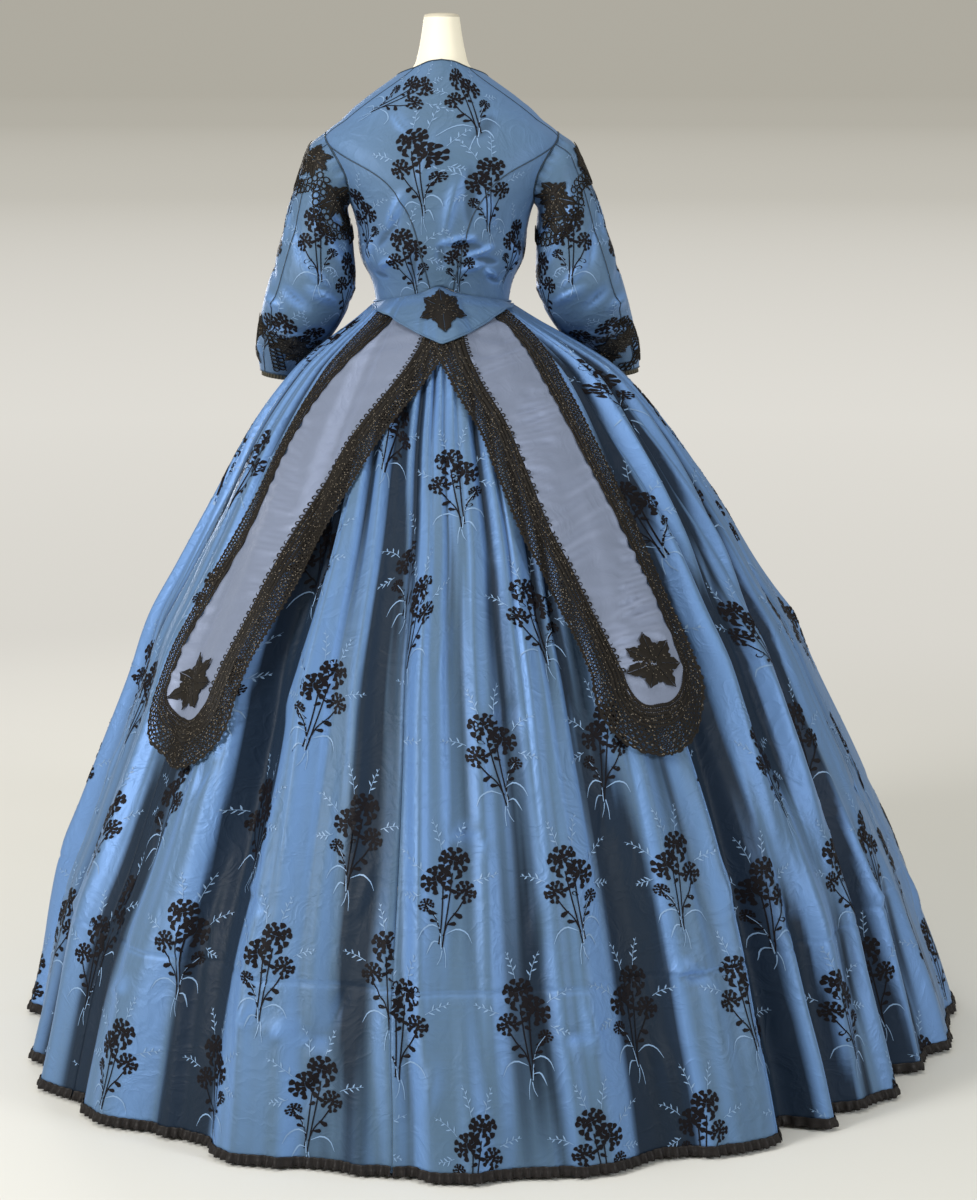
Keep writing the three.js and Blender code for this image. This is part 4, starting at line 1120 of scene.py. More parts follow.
def spread(values, axis, reach, blur):
    """The most within `reach` steps along an axis, softened over `blur` steps."""
    size = values.shape[axis]
    at = np.arange(size)
    most = np.max([values.take(np.clip(at + k, 0, size - 1), axis)
                   for k in range(-reach, reach + 1)], axis=0)
    for _ in range(2):
        most = np.mean([most.take(np.clip(at + k, 0, size - 1), axis)
                        for k in range(-blur, blur + 1)], axis=0)
    return most


def reach_table():
    """How far the skirt's folds and creases reach at the back, as cloth laid on them finds."""
    phi, z = np.meshgrid(REACH_PHI, REACH_Z, indexing="ij")
    z = np.minimum(z, waist_z(phi) - SEAM)
    rise = fold_rise(phi, z) + pleats(phi, z) + skirt_detail(phi, z)
    return spread(spread(rise, 0, 9, 2), 1, 10, 4)


def reach_at(phi, z):
    if not hasattr(reach_at, "table"):
        reach_at.table = reach_table()
    i = np.clip((phi - REACH_PHI[0]) / PHI_STEP, 0, len(REACH_PHI) - 1.001)
    j = np.clip((z - REACH_Z[0]) / Z_STEP, 0, len(REACH_Z) - 1.001)
    p, q = i.astype(int), j.astype(int)
    low, high = (mix(reach_at.table[p, k], reach_at.table[p + 1, k], i - p) for k in (q, q + 1))
    return mix(low, high, j - q)


def flattened(phi, z):
    """How much of its level a layer keeps: less where the waist's seam presses it down."""
    return mix(0.4, 1, smooth((waist_z(phi) - z - 2) / 18))


def over(level):
    """The skirt's face as cloth laid on its folds finds it, `level` above them."""
    def face(phi, z):
        phi, z = matched(phi, z)
        laid = skirt(phi, z, reach_at(phi, z))
        return laid + normal(skirt, phi, z) * (level * flattened(phi, z))[..., None]
    return face


# A tab: each row's number, the (angle, height) of its middle and the way from there to its
# right-hand edge; the (angle, height) of its tip; and which side is the inner one
TABS = {
    "left": (table(
        (0, 70, 1030, 8, -6), (1, 67.5, 1003, 10.5, -10), (2, 56, 922, 10, -8),
        (3, 51.5, 868, 8.6, -4), (4, 47.5, 800, 7.6, -3), (5, 43.5, 710, 7.3, 0),
        (6, 41, 618, 7, 4), (7, 39.5, 548, 6.8, 5)), (39.5, 500), 1),
    "right": (table(
        (0, 106, 1032, 10, 4), (1, 108, 992, 13, 8), (2, 109, 946, 11, 3),
        (3, 112.5, 897, 9, 4), (4, 114.3, 842, 8.3, 5), (5, 116, 775, 8, 7),
        (6, 118, 722, 7.2, 6), (7, 120.5, 655, 6.7, 5), (8, 121.5, 592, 6.2, 2)),
        (120.5, 540), -1),
}
END_STEPS, END_NARROW = 3, 0.12
# How far up a tab's end lies still, under the lace, and over what height its ripples then rise
STILL_END, RIPPLE_FADE = 10, 45
# The border's width at the inner side's start, middle and end, at the tab's tip, and at the outer
# side's start, middle and end
LACE_WIDTH = {"left": (30, 42, 40, 50, 20, 32, 30), "right": (32, 42, 40, 50, 20, 30, 34)}


def on_tab(tab, side, row):
    """(angle, height) on a tab: side from -1 to 1 across, row down it and round its end."""
    rows, end, _ = tab
    last = len(rows) - 1
    turn = np.clip(row - last, 0, END_STEPS) / END_STEPS * 90
    at = np.minimum(row, last)
    phi, z, d_phi, d_z = (read(rows, at, k) for k in range(1, 5))
    narrow = mix(END_NARROW, 1, np.cos(rad(turn)))
    return (phi + side * d_phi * narrow + (end[0] - phi) * np.sin(rad(turn)),
            z + side * d_z * narrow + (end[1] - z) * np.sin(rad(turn)))


def tab_face(name):
    """A tab's face, with the fine creases across it."""
    under = over(TAB_LEVEL[name])
    seed = {"left": 3, "right": 8}[name]

    def face(phi, z):
        base = under(phi, z)
        x = phi * ring_at(z)
        sway = 1.2 * np.sin(x / 26 + seed) + 0.8 * np.sin(z / 47 + x / 19)
        ripple = (np.sin(z / 2.7 + sway) * smooth(1.4 * np.sin(z / 31 + x / 25 + seed) + 0.2)
                  + 0.9 * np.sin(z / 5.3 - x / 24 + sway) * np.sin(z / 57 - x / 30))
        ripple = ripple * smooth((z - TABS[name][1][1] - STILL_END) / RIPPLE_FADE)
        return base + normal(skirt, phi, z) * (TAB_RIPPLE[name] * ripple)[..., None]
    return face


class DRESS_OT_tabs(bpy.types.Operator):
    """The two hanging tabs of plain silk"""
    bl_idname = "dress.tabs"
    bl_label = "Tabs"

    def execute(self, context):
        for name, tab in TABS.items():
            last = len(tab[0]) - 1
            rows = np.concatenate([np.linspace(0, last, 170)[:-1],
                                   last + END_STEPS * np.linspace(0, 1, 22)])[::-1, None]
            phi, z = on_tab(tab, np.linspace(-1, 1, 29)[None, :], rows)
            face = tab_face(name)
            # Painted sheen on the tab where its ripples turn
            cloth("tab_" + name, face(phi, z), plain_silk(), "hung",
                  ["skirt_back_" + name], lie_of(face, skirt, phi, z))
        return {"FINISHED"}


def tab_border(name):
    """The strip outside a tab's edge: (angle, height) from (run in mm, part of the width)."""
    tab = TABS[name]
    last = len(tab[0]) - 1
    total = last + END_STEPS
    way = np.concatenate([np.linspace(0, total, 260), np.linspace(total, 0, 260)])
    side = np.repeat([tab[2], -tab[2]], 260)
    phi, z = on_tab(tab, side, way)
    centre_phi, centre_z = on_tab(tab, 0, np.minimum(way, last))
    ring = ring_at(z)
    slant = np.hypot(1, (read(SKIRT, z - 5, 2) - read(SKIRT, z + 5, 2)) / 10)
    along = unit(np.column_stack([np.gradient(phi) * ring, np.gradient(z) * slant]))
    out = np.column_stack([along[:, 1], -along[:, 0]])
    inward = out[:, 0] * (phi - centre_phi) * ring + out[:, 1] * (z - centre_z) * slant < 0
    out[inward] *= -1
    for _ in range(12):
        out[1:-1] = unit(out[:-2] + 2 * out[1:-1] + out[2:])
    spot = np.where(np.arange(520) < 260, way, 2 * total - way)
    marks = [0, last / 2, last, total, total + END_STEPS, total + END_STEPS + last / 2, 2 * total]
    width = np.interp(spot, marks, LACE_WIDTH[name])
    run = run_up(np.hypot(np.diff(phi) * ring[1:], np.diff(z) * slant[1:]))
    cuts = np.interp([last, total + END_STEPS], spot, run)

    lap = np.interp(spot, [last - 1, last + 1, total, total + END_STEPS + 1], [0, 9, 13, 0])
    phi, z = phi - out[:, 0] * lap / ring, z - out[:, 1] * lap / slant
    width = width + lap * 1.25

    def strip(s, t):
        a, b, w, r, k = (np.interp(s, run, v) for v in (phi, z, width, ring, slant))
        u, v = (np.interp(s, run, out[:, c]) for c in (0, 1))
        here, high = a + u * w * t / r, b + v * w * t / k
        return here, np.minimum(high, waist_z(here) - 4)

    return strip, run[-1], cuts, lambda s: np.interp(s, run, width)


def braid(shapes, length, low, high, sway):
    """A dense braid from height `low` to `high`, with nubs across it."""
    lift, steps = 1.5, 6
    u = np.linspace(0, length, steps + 1)
    swing = sway * (-1) ** np.arange(steps + 1)
    nub = 0.5 + 0.5 * (-1) ** np.arange(steps + 1)
    rows = [np.column_stack([u, mix(low, high, share) + swing, lift * (rise + 0.35 * nub * rise)])
            for share, rise in ((0, 0.1), (0.3, 1), (0.62, 0.55), (1, 0.1))]
    shapes.add(np.concatenate(rows), strips(4, steps + 1))


def glints(shapes, draw, length, low, high, count):
    """Small lighter flecks on the thread: painted highlights, where loops of thread would catch the
    light.
    """
    for _ in range(count):
        x, y, turn = draw.random() * length, mix(low, high, draw.random()), draw.random() * 3
        dx, dy = 0.9 * math.cos(turn), 0.9 * math.sin(turn)
        shapes.add([(x - dx, y - dy, 1.5), (x + dy * 0.6, y - dx * 0.6, 1.7),
                    (x + dx, y + dy, 1.5), (x - dy * 0.6, y + dx * 0.6, 1.7)],
                   [(0, 1, 2), (0, 2, 3)], 1)


def lace_repeat(length, width, picots, draw):
    """One repeat of the border: picots, a lumpy dense band, a net of rings and a rim of balls."""
    shapes = Shapes()
    # Painted highlights on the border's threads
    glints(shapes, draw, length, 1, width - 2, round(width / 3.4))
    dense = 0.46 * width
    if picots:
        shapes.ring(length / 2, -1.6, 3.3, 1.6, 8, 0.9)
    rows = max(2, round(dense / 5.2))
    for k in range(rows):
        low, high = dense * k / rows, dense * (k + 1) / rows
        braid(shapes, length, low, high - 0.35, 0.35 * (-1) ** k)
    high = width - 3.2
    rows = max(1, round((high - dense) / 4.9))
    tall = (high - dense) / rows
    for k in range(rows):
        y = dense + tall * (k + 0.5)
        for x in ((0.25, 0.75) if k % 2 else (0.0, 0.5)):
            shapes.ring(length * x, y, tall * 0.60, tall * 0.24, 7, 0.9)
    for x, y, size in ((0.5, 1.4, 2.5), (0.0, 0.5, 1.9), (0.25, 0.3, 1.5), (0.75, 0.3, 1.5)):
        shapes.dot(length * x, high + y, size, 1.5)
    return shapes


# How far the border and the motif lie above their tab
LACE_LIFT, MOTIF_LIFT = 0.35, 2.0
# The border's repeat along the edge, and how much wider than tall each tab's motif is drawn
LACE_REPEAT, MOTIF_STRETCH = 9.4, {"left": 1.4, "right": 1.1}


# How far the picots and the rim reach, as parts of the border's width
PICOTS_REACH, RIM_REACH = -0.12, 1.02


def stretch_size(face, strip, start, stop, picots):
    """(widest, longest, area) of a stretch of the border, with its picots and its rim."""
    run = np.linspace(start, stop, 61)[:, None]
    across = np.linspace(PICOTS_REACH if picots else 0, RIM_REACH, 9)[None, :]
    return lengths(face(*strip(run, across)))


class DRESS_OT_tab_lace(bpy.types.Operator):
    """The bobbin lace round both tabs, in three lengths each, and the motif on each end"""
    bl_idname = "dress.tab_lace"
    bl_label = "Tab lace"

    def execute(self, context):
        for name, tab in TABS.items():
            strip, total, cuts, width_at = tab_border(name)
            face = over(TAB_LEVEL[name] + LACE_LIFT)
            marks = [0, *cuts, total]
            for k, stretch in enumerate(("inner", "end", "outer")):
                picots, lots = stretch == "inner", []
                count = round((marks[k + 1] - marks[k]) / LACE_REPEAT)
                each = (marks[k + 1] - marks[k]) / count
                for i in range(count):
                    start = marks[k] + i * each
                    width = float(width_at(start + each / 2))
                    points, faces, kinds = lace_repeat(
                        each, width, picots, np.random.default_rng(i)).arrays()
                    a, b = strip(start + points[:, 0], points[:, 1] / width)
                    lots.append((np.column_stack([a, b, points[:, 2]]), faces[:, ::tab[2]],
                                 kinds))
                flat, faces, kinds = merged(lots)
                a, b, lift = flat.T
                at = lifted(face, a, b, lift * flattened(a, b))
                obj = lace_piece(f"tab_lace_{name}_{stretch}", [(at, faces, kinds)])
                declare(obj, *stretch_size(face, strip, marks[k], marks[k + 1], picots), "laid",
                        ["tab_" + name])
            motif = leafy_motif(7, 43, 23, stretch=(MOTIF_STRETCH[name], 1))
            phi, z = on_tab(tab, 0, float(len(tab[0]) - 1))
            lot = stamped(over(TAB_LEVEL[name] + MOTIF_LIFT), motif,
                          [(phi, z + 8, 4, 1, False)], 0.2)
            obj = lace_piece("tab_motif_" + name, [lot])
            declare(obj, *motif.size(), mesh_area(obj), "laid", ["tab_" + name])
        return {"FINISHED"}


def leafy_motif(leaves, length, width, tail=0, stretch=(1, 1)):
    """A rosette of toothed leaves round a knotted middle, with an odd longer leaf."""
    shapes = Shapes()
    # Painted highlights on the motif's threads
    glints(shapes, np.random.default_rng(leaves), length, -length / 2, length / 2, round(length))
    shapes.points[:] = [p - (length / 2, 0, 0) for p in shapes.points]
    for i in range(leaves):
        turn = 90 + 360 * i / leaves
        reach = tail if tail and i == leaves // 2 else length * (1, 0.92, 0.97, 0.88)[i % 4]
        c, s = cos_sin(turn)
        shapes.leaf(3 * c, 3 * s, turn, reach - 3, width)
        c, s = cos_sin(turn + 180 / leaves)
        shapes.ring(length * 0.42 * c, length * 0.42 * s, length * 0.13, length * 0.055, 7, 0.8)
        shapes.dot(length * 0.62 * c, length * 0.62 * s, length * 0.06, 0.8)
    shapes.ring(0, 0, length * 0.27, length * 0.1, 12, 1.4)
    shapes.dot(0, 0, length * 0.07, 1.2)
    shapes.points = [points * (*stretch, 1) for points in shapes.points]
    return shapes


BASQUE_TIP, BASQUE_ENDS, BASQUE_DROP = (86.5, 989), (20, 160), 2.5


def basque_edge(phi):
    """The height of the basque's edge, straight from each side down to the point."""
    x, tip = np.cos(rad(phi)), math.cos(math.radians(BASQUE_TIP[0]))
    away = np.where(x > tip, (x - tip) / (0.94 - tip), (tip - x) / (0.94 + tip))
    return mix(BASQUE_TIP[1], waist_z(phi) - BASQUE_DROP, np.clip(away, 0, 1))


def basque_face(phi, z):
    inside = np.minimum(phi - BASQUE_ENDS[0], BASQUE_ENDS[1] - phi)
    level = mix(0.6, BASQUE_LEVEL, smooth(inside / 30))
    phi, z = matched(phi, z)
    base = over(0)(phi, z) + normal(skirt, phi, z) * (level * flattened(phi, z))[..., None]
    t = np.clip((waist_z(phi) - z) / 70, 0, 1)
    ripple = 0.8 * np.sin(rad(phi * 13)) * t + 0.5 * np.sin(rad(phi * 31 + 40)) * t
    return base + normal(skirt, phi, z) * ripple[..., None]


def star_face(phi, z):
    """What the star lies on: the basque, and above the waist the bodice."""
    phi, z = matched(phi, z)
    seam = waist_z(phi)
    low = over(STAR_LEVEL)(phi, np.minimum(z, seam - 7))
    high = torso(phi, np.maximum(z, seam + 7))
    high = high + unit(high * (1, 1, 0)) * 7
    return mix(low, high, smooth((z - seam + 7) / 14)[..., None])


class DRESS_OT_basque(bpy.types.Operator):
    """The pointed basque with its lace star, and the piping of the waist and the point"""
    bl_idname = "dress.basque"
    bl_label = "Basque"

    def execute(self, context):
        phi = np.linspace(*BASQUE_ENDS, 181)[None, :]
        t = np.linspace(0, 1, 22)[:, None]
        z = mix(basque_edge(phi), waist_z(phi) - 1.0, t)
        phi, z = np.broadcast_arrays(phi, z)
        # Painted sheen on the basque where it turns
        cloth("basque", basque_face(phi, z), silk(), "draped",
              ["skirt_back_left", "skirt_back_right"], lie_of(basque_face, skirt, phi, z))
        star = leafy_motif(6, 43, 22, tail=47, stretch=(1, 1.32))
        obj = lace_piece("basque_star",
                         [stamped(star_face, star, [(88, 1032, 0, 1, False)], 0.2)])
        declare(obj, *star.size(), mesh_area(obj), "laid", ["basque"])
        radius = sizes().piping / MM
        phi = np.linspace(0, 360, 240, endpoint=False)
        z = waist_z(phi) + 1.6
        out = mix(radius + 1.4, BASQUE_LEVEL * 0.4 + 1.6, smooth(3 * np.sin(rad(phi)) - 0.5))
        tube("waist_piping", lifted(torso, phi, z, out), radius, ["waist_piping"], silk(),
             closed=True)
        phi = np.linspace(BASQUE_ENDS[0] + 0.5, BASQUE_ENDS[1] - 0.5, 190)
        z = basque_edge(phi) - 0.6
        tube("basque_piping", lifted(basque_face, phi, z, 0.2), radius, ["basque_piping"],
             silk())
        return {"FINISHED"}


# ---- the bodice ----------------------------------------------------------------------------
SHOULDER_TURN, BACK_SEAM_TURN = 28, 50
NECK_SIDE, NECK_BACK, NECK_FRONT = (38, 1366), 1377, 1336


def armscye(turn):
    c, s = cos_sin(turn)
    return [ARMSCYE_ANGLE * s, ARMSCYE_Z + ARMSCYE_HEIGHT * c]


def arc(start, end, count):
    return np.array([armscye(turn) for turn in np.linspace(start, end, count + 1)])


def even(points, count):
    """count + 1 evenly spaced (angle, height) places on a smooth line."""
    dense = through(points, 40 * len(points))
    run = run_up(np.hypot(*(np.diff(dense, axis=0) * (DEGREE, 1)).T))
    at = np.linspace(0, run[-1], count + 1)
    return np.column_stack([np.interp(at, run, dense[:, k]) for k in (0, 1)])


def waist_line(start, end, count):
    phi = np.linspace(start, end, count + 1)
    return np.column_stack([phi, waist_z(phi)])


def mirrored(line):
    return line * (-1, 1) + (180, 0)


def side_seam(count):
    return even([(12, float(waist_z(12.0))), (9, 1085), (4, 1130), armscye(180)], count)


def back_seam(count):
    return even([(80.5, float(waist_z(80.5))), (76.5, 1119), (70, 1175), (58, 1218),
                 armscye(BACK_SEAM_TURN)], count)


def shoulder_seam(count):
    return even([armscye(SHOULDER_TURN), NECK_SIDE], count)


def neck_front():
    return even([(-90, NECK_FRONT), (-50, 1342), (-8, 1354), NECK_SIDE], 40)


def meet(*lines):
    return np.concatenate([line[1 if i else 0:] for i, line in enumerate(lines)])


def filled(bottom, top, left, right):
    """(angle, height) all over a panel, from the lines of its four edges."""
    v = np.linspace(0, 1, len(left))[:, None, None]
    u = np.linspace(0, 1, len(bottom))[None, :, None]
    ruled = (mix(bottom[None], top[None], v) + mix(left[:, None], right[:, None], u)
             - mix(mix(bottom[0], bottom[-1], u), mix(top[0], top[-1], u), v))
    ruled[:, 0] = mix(ruled[:, 0], ruled[:, 1], 0.12)
    ruled[:, -1] = mix(ruled[:, -1], ruled[:, -2], 0.12)
    ruled[0] = mix(ruled[0], ruled[1], 0.004)
    return ruled[..., 0], ruled[..., 1]


def other_side(phi, z):
    return 180 - phi[:, ::-1], z[:, ::-1]


def bodice_panels():
    """Each bodice panel's name and its (angle, height)."""
    neck_back = even([NECK_SIDE, (62, 1374), (90, NECK_BACK), (118, 1374),
                      (180 - NECK_SIDE[0], NECK_SIDE[1])], 34)
    shoulder = shoulder_seam(28)
    left = meet(back_seam(84), arc(BACK_SEAM_TURN, SHOULDER_TURN, 8))
    top = meet(shoulder, neck_back, mirrored(shoulder)[::-1])
    yield "bodice_centre_back", filled(waist_line(80.5, 99.5, len(top) - 1), top, left,
                                       mirrored(left))
    side_back = filled(waist_line(12, 80.5, 48), arc(180, BACK_SEAM_TURN, 48), side_seam(90),
                       back_seam(90))
    yield "bodice_side_back_left", side_back
    yield "bodice_side_back_right", other_side(*side_back)
    top = meet(neck_front(), shoulder[::-1])
    right = meet(side_seam(50), arc(180, 360 + SHOULDER_TURN, 58))
    opening = np.column_stack([np.full(len(right), -90.0), np.linspace(
        float(waist_z(-90.0)), NECK_FRONT, len(right))])
    front = filled(waist_line(-90, 12, len(top) - 1), top, opening, right)
    yield "bodice_front_left", front
    yield "bodice_front_right", other_side(*front)


# The bodice's sprays: angle, height, lean, size, mirrored
BODICE_SPRAYS = (
    (60, 1325, -24, 0.78, True), (108, 1318, -14, 0.86, False), (80, 1222, -6, 1.0, False),
    (116, 1190, 22, 0.84, True), (66, 1095, -4, 0.86, False), (103, 1092, 14, 0.6, True),
    (31, 1150, -10, 0.8, False), (149, 1110, 10, 0.8, True), (-60, 1290, 10, 0.86, False),
    (-22, 1200, -8, 0.95, True), (-66, 1160, 6, 0.95, False), (-34, 1080, -6, 0.9, True),
    (240, 1290, -10, 0.86, True), (202, 1200, 8, 0.95, False), (246, 1160, -6, 0.95, True),
    (214, 1080, 6, 0.9, False), (-4, 1090, 4, 0.85, False), (184, 1090, -4, 0.85, True),
)


def seam_cord(name, points, radius, closed=False):
    """A thin cord let into a seam."""
    tube("cord_" + name, points, radius, [], cord_silk(), closed, sides=6)


class DRESS_OT_bodice(bpy.types.Operator):
    """The fitted bodice of five panels, its seam cords and its sprays"""
    bl_idname = "dress.bodice"
    bl_label = "Bodice"

    def execute(self, context):
        shapes = spray()
        for name, (phi, z) in bodice_panels():
            def keep(a, b, phi=phi, z=z):
                return inside_panel(a, b, phi, z)

            places = [row for row in BODICE_SPRAYS if phi.min() - 15 < row[0] < phi.max() + 15]
            lot = stamped(bodice, shapes, places, SPRAY_LIFT, keep=keep)
            sprays = [sprays_piece(name, lot)] if lot else []
            # Painted sheen: more where the creases turn, and more on the side panels the further
            # they turn from the back; painted shade in the creases' troughs
            lie = np.clip(1.4 * lie_of(bodice, torso, phi, z) + 0.4 * np.cos(rad(phi)) ** 2, 0, 1)
            cloth(name, bodice(phi, z), silk(), "stretched", ["form_torso"], lie,
                  0.5 * smooth(-bodice_rise(phi, z) / 2.4),
                  with_pieces=sprays)
        for side, turn_line in (("left", lambda line: line), ("right", mirrored)):
            for word, line, radius in (
                    ("back", meet(back_seam(70), arc(BACK_SEAM_TURN, BACK_SEAM_TURN - 1, 1)), 0.8),
                    ("shoulder", shoulder_seam(30), 0.6),
                    ("armscye", arc(0, 358, 90), 1.1)):
                seam_cord(f"{word}_{side}", lifted(bodice, *turn_line(line).T, 0.25), radius,
                          word == "armscye")
        neck = meet(neck_front(), even([NECK_SIDE, (62, 1374), (90, NECK_BACK)], 24))
        neck = meet(neck, mirrored(neck)[::-1])[:-1]
        seam_cord("neck", lifted(bodice, *neck.T, 0.1), 1.0, True)
        return {"FINISHED"}


def inside_panel(a, b, phi, z):
    """Which places lie within a panel's outline."""
    grid = np.stack([phi, z], -1)
    edge = np.concatenate([grid[0], grid[1:, -1], grid[-1, -2::-1], grid[-2:0:-1, 0]])
    after = np.roll(edge, -1, 0)
    inside = np.zeros(len(a), bool)
    for (x0, y0), (x1, y1) in zip(edge, after):
        if y0 != y1:
            crosses = (y0 > b) != (y1 > b)
            inside ^= crosses & (a < x0 + (b - y0) * (x1 - x0) / (y1 - y0))
    return inside


class DRESS_OT_buttons(bpy.types.Operator):
    """Seven silk-covered domed buttons down the front"""
    bl_idname = "dress.buttons"
    bl_label = "Buttons"

    def execute(self, context):
        count, radius, height, seat = 7, 6.5 * MM, 5 * MM, 0.3 * MM
        material = thread("button silk", colours().spray, roughness=0.38)
        bpy.ops.object.select_all(action="DESELECT")
        bpy.ops.mesh.primitive_cylinder_add(vertices=32, radius=radius, depth=height * 0.4)
        model = context.object
        bpy.ops.object.mode_set(mode="EDIT")
        bpy.ops.mesh.select_mode(type="FACE")
        bpy.ops.mesh.select_all(action="DESELECT")
        bpy.ops.object.mode_set(mode="OBJECT")
        for face in model.data.polygons:
            face.select = face.normal.z > 0.9
        bpy.ops.object.mode_set(mode="EDIT")
        for inset, rise in ((0.14, 0.26), (0.2, 0.2), (0.24, 0.1), (0.22, 0.04)):
            bpy.ops.mesh.inset(thickness=inset * radius)
            bpy.ops.transform.translate(value=(0, 0, rise * height))
        bpy.ops.object.mode_set(mode="OBJECT")
        apply_modifier(model, "BEVEL", width=0.3 * MM, segments=2, limit_method="ANGLE")
        flat = [vertex.co.copy() for vertex in model.data.vertices]
        lowest = min(point.z for point in flat)
        waist = float(waist_z(-90.0))
        for i in range(count):
            z = mix(waist, NECK_FRONT, (2 * i + 1.5) / (2 * count))
            seat_at = bodice(np.array([-90.0]), np.array([z]))[0] * MM
            out = normal(bodice, np.array([-90.0]), np.array([z]))[0]
            side = unit(np.cross((0, 0, 1.0), out))
            up = np.cross(out, side)
            button = bpy.data.objects.new(f"button_{i + 1}", model.data.copy())
            context.collection.objects.link(button)
            for vertex, point in zip(button.data.vertices, flat):
                vertex.co = (seat_at + side * point.x + up * point.y
                             + out * (point.z - lowest + seat))
            for face in button.data.polygons:
                face.use_smooth = True
            finish_piece(button, [f"button_{i + 1}"], [material])
        bpy.data.objects.remove(model)
        return {"FINISHED"}


# ---- the sleeves ---------------------------------------------------------------------------
# A sleeve's sprays: turn, row, lean, size, mirrored
SLEEVE_SPRAYS = (
    (88, 3.35, 4, 0.86, False), (60, 6.2, -6, 0.8, True), (10, 1.9, 6, 0.86, False),
    (0, 3.9, -4, 0.9, True), (-70, 2.6, 0, 0.86, False), (-50, 5.6, 6, 0.86, True),
    (150, 4.4, 0, 0.8, False), (120, 6.5, 6, 0.78, True), (-130, 5.0, 0, 0.8, False),
)
SIDES = (("left", 1), ("right", -1))


class DRESS_OT_sleeves(bpy.types.Operator):
    """The two-piece coat sleeves, their seam cords, sprays and wrist frills"""
    bl_idname = "dress.sleeves"
    bl_label = "Sleeves"

    def execute(self, context):
        shapes = spray()
        for word, side in SIDES:
            face = sleeve_face(side)
            for half, start in (("upper", BACK_TURN - 180), ("under", BACK_TURN)):
                turn = np.linspace(start + 0.15, start + 179.85, 57) * side
                a, b = np.meshgrid(np.sort(turn), np.linspace(-SLEEVE_ROWS, 0, 101))

                def keep(p, q, low=a.min(), high=a.max()):
                    return (p > low) & (p < high) & (q < -0.12) & (q > -SLEEVE_ROWS + 0.05)

                places = [(side * t + w, -row, side * lean, size, mirror != (side < 0))
                          for t, row, lean, size, mirror in SLEEVE_SPRAYS for w in (0, -360, 360)
                          if a.min() - 60 < side * t + w < a.max() + 60]
                lot = stamped(face, shapes, places, SPRAY_LIFT, SLEEVE_STEPS, keep)
                name = f"sleeve_{half}_{word}"
                sprays = sprays_piece(name, lot)
                # Painted sheen on the sleeve where its creases turn
                cloth(name, face(a, b), silk(), "gathered",
                      ["bodice_front_" + word], sleeve_lie(side, a, b), with_pieces=[sprays])
            rows = np.linspace(0.05, SLEEVE_ROWS, 90)
            for k, turn in enumerate((BACK_TURN, BACK_TURN + 180)):
                line = lifted(face, np.full(90, side * turn), -rows, 0.2, SLEEVE_STEPS)
                seam_cord(f"sleeve_{word}_{k}", line, 0.7)
            edge = face(np.linspace(0, 360, 120, endpoint=False), -SLEEVE_ROWS)
            seam_cord("cuff_" + word, edge, 1.0, True)
            self.frill(word, side)
        return {"FINISHED"}

    def frill(self, word, side):
        """The narrow pleated frill that shows inside a cuff."""
        a = np.linspace(0, 360, 421)[None, :]
        t = np.linspace(1, 0, 8)[:, None]
        last = float(SLEEVE_ROWS)
        edge, above = (sleeve(side, side * a, row) for row in (last, last - 0.4))
        middle = (edge + sleeve(side, side * a + 180, last)) / 2
        onward = unit((edge - above).mean(1, keepdims=True))
        inward = unit(middle - edge)
        pleat = 0.8 * np.sin(rad(a * 36)) * (0.5 + t / 2)
        grid = (edge + onward * (1 + 11 * t)[..., None]
                + inward * (2.4 + 1.5 * t + pleat)[..., None])
        cloth("wrist_frill_" + word, grid, frill_silk(), "gathered",
              ["sleeve_upper_" + word], thickness=0.4)


def sleeve_lie(side, a, b):
    """How far a sleeve's creases turn away from its smooth face, which sets its painted sheen."""
    def plain(p, q):
        return sleeve(side, side * p, -q)
    return lie_of(sleeve_face(side), plain, a, np.clip(b, 0.02 - SLEEVE_ROWS, -0.02), SLEEVE_STEPS)


def along(face, points, pitch, steps):
    """Places on a surface every `pitch` millimetres of a line through (a, b) points."""
    dense = through(points, 40 * len(points))
    at = face(dense[:, 0], dense[:, 1])
    run = run_up(np.linalg.norm(np.diff(at, axis=0), axis=1))
    places = []
    for station in np.arange(pitch / 2, run[-1], pitch):
        (a, b), ahead, behind = ([np.array(np.interp(at, run, column)) for column in dense.T]
                                 for at in (station, station + 1, station - 1))
        way = face(*ahead) - face(*behind)
        up = unit(face(a, b + steps[1]) - face(a, b))
        side = unit(np.cross(up, normal(face, a, b, steps)))
        places.append((a, b, math.degrees(math.atan2(way @ up, way @ side)), 1, False))
    return places


CHAIN_PITCH = 9.8


def chain_link():
    """Two rings of the double chain, side by side and half a step apart."""
    shapes = Shapes()
    for x, y in ((0, 4.9), (4.9, -4.9)):
        shapes.ring(x, y, 5.4, 3.5, 10, 1.3)
    for x, y in ((4.9, 9.4), (0, -9.4), (4.9, 5.2), (0, -5.2)):
        shapes.dot(x, y, 1.3, 1.2)
    return shapes


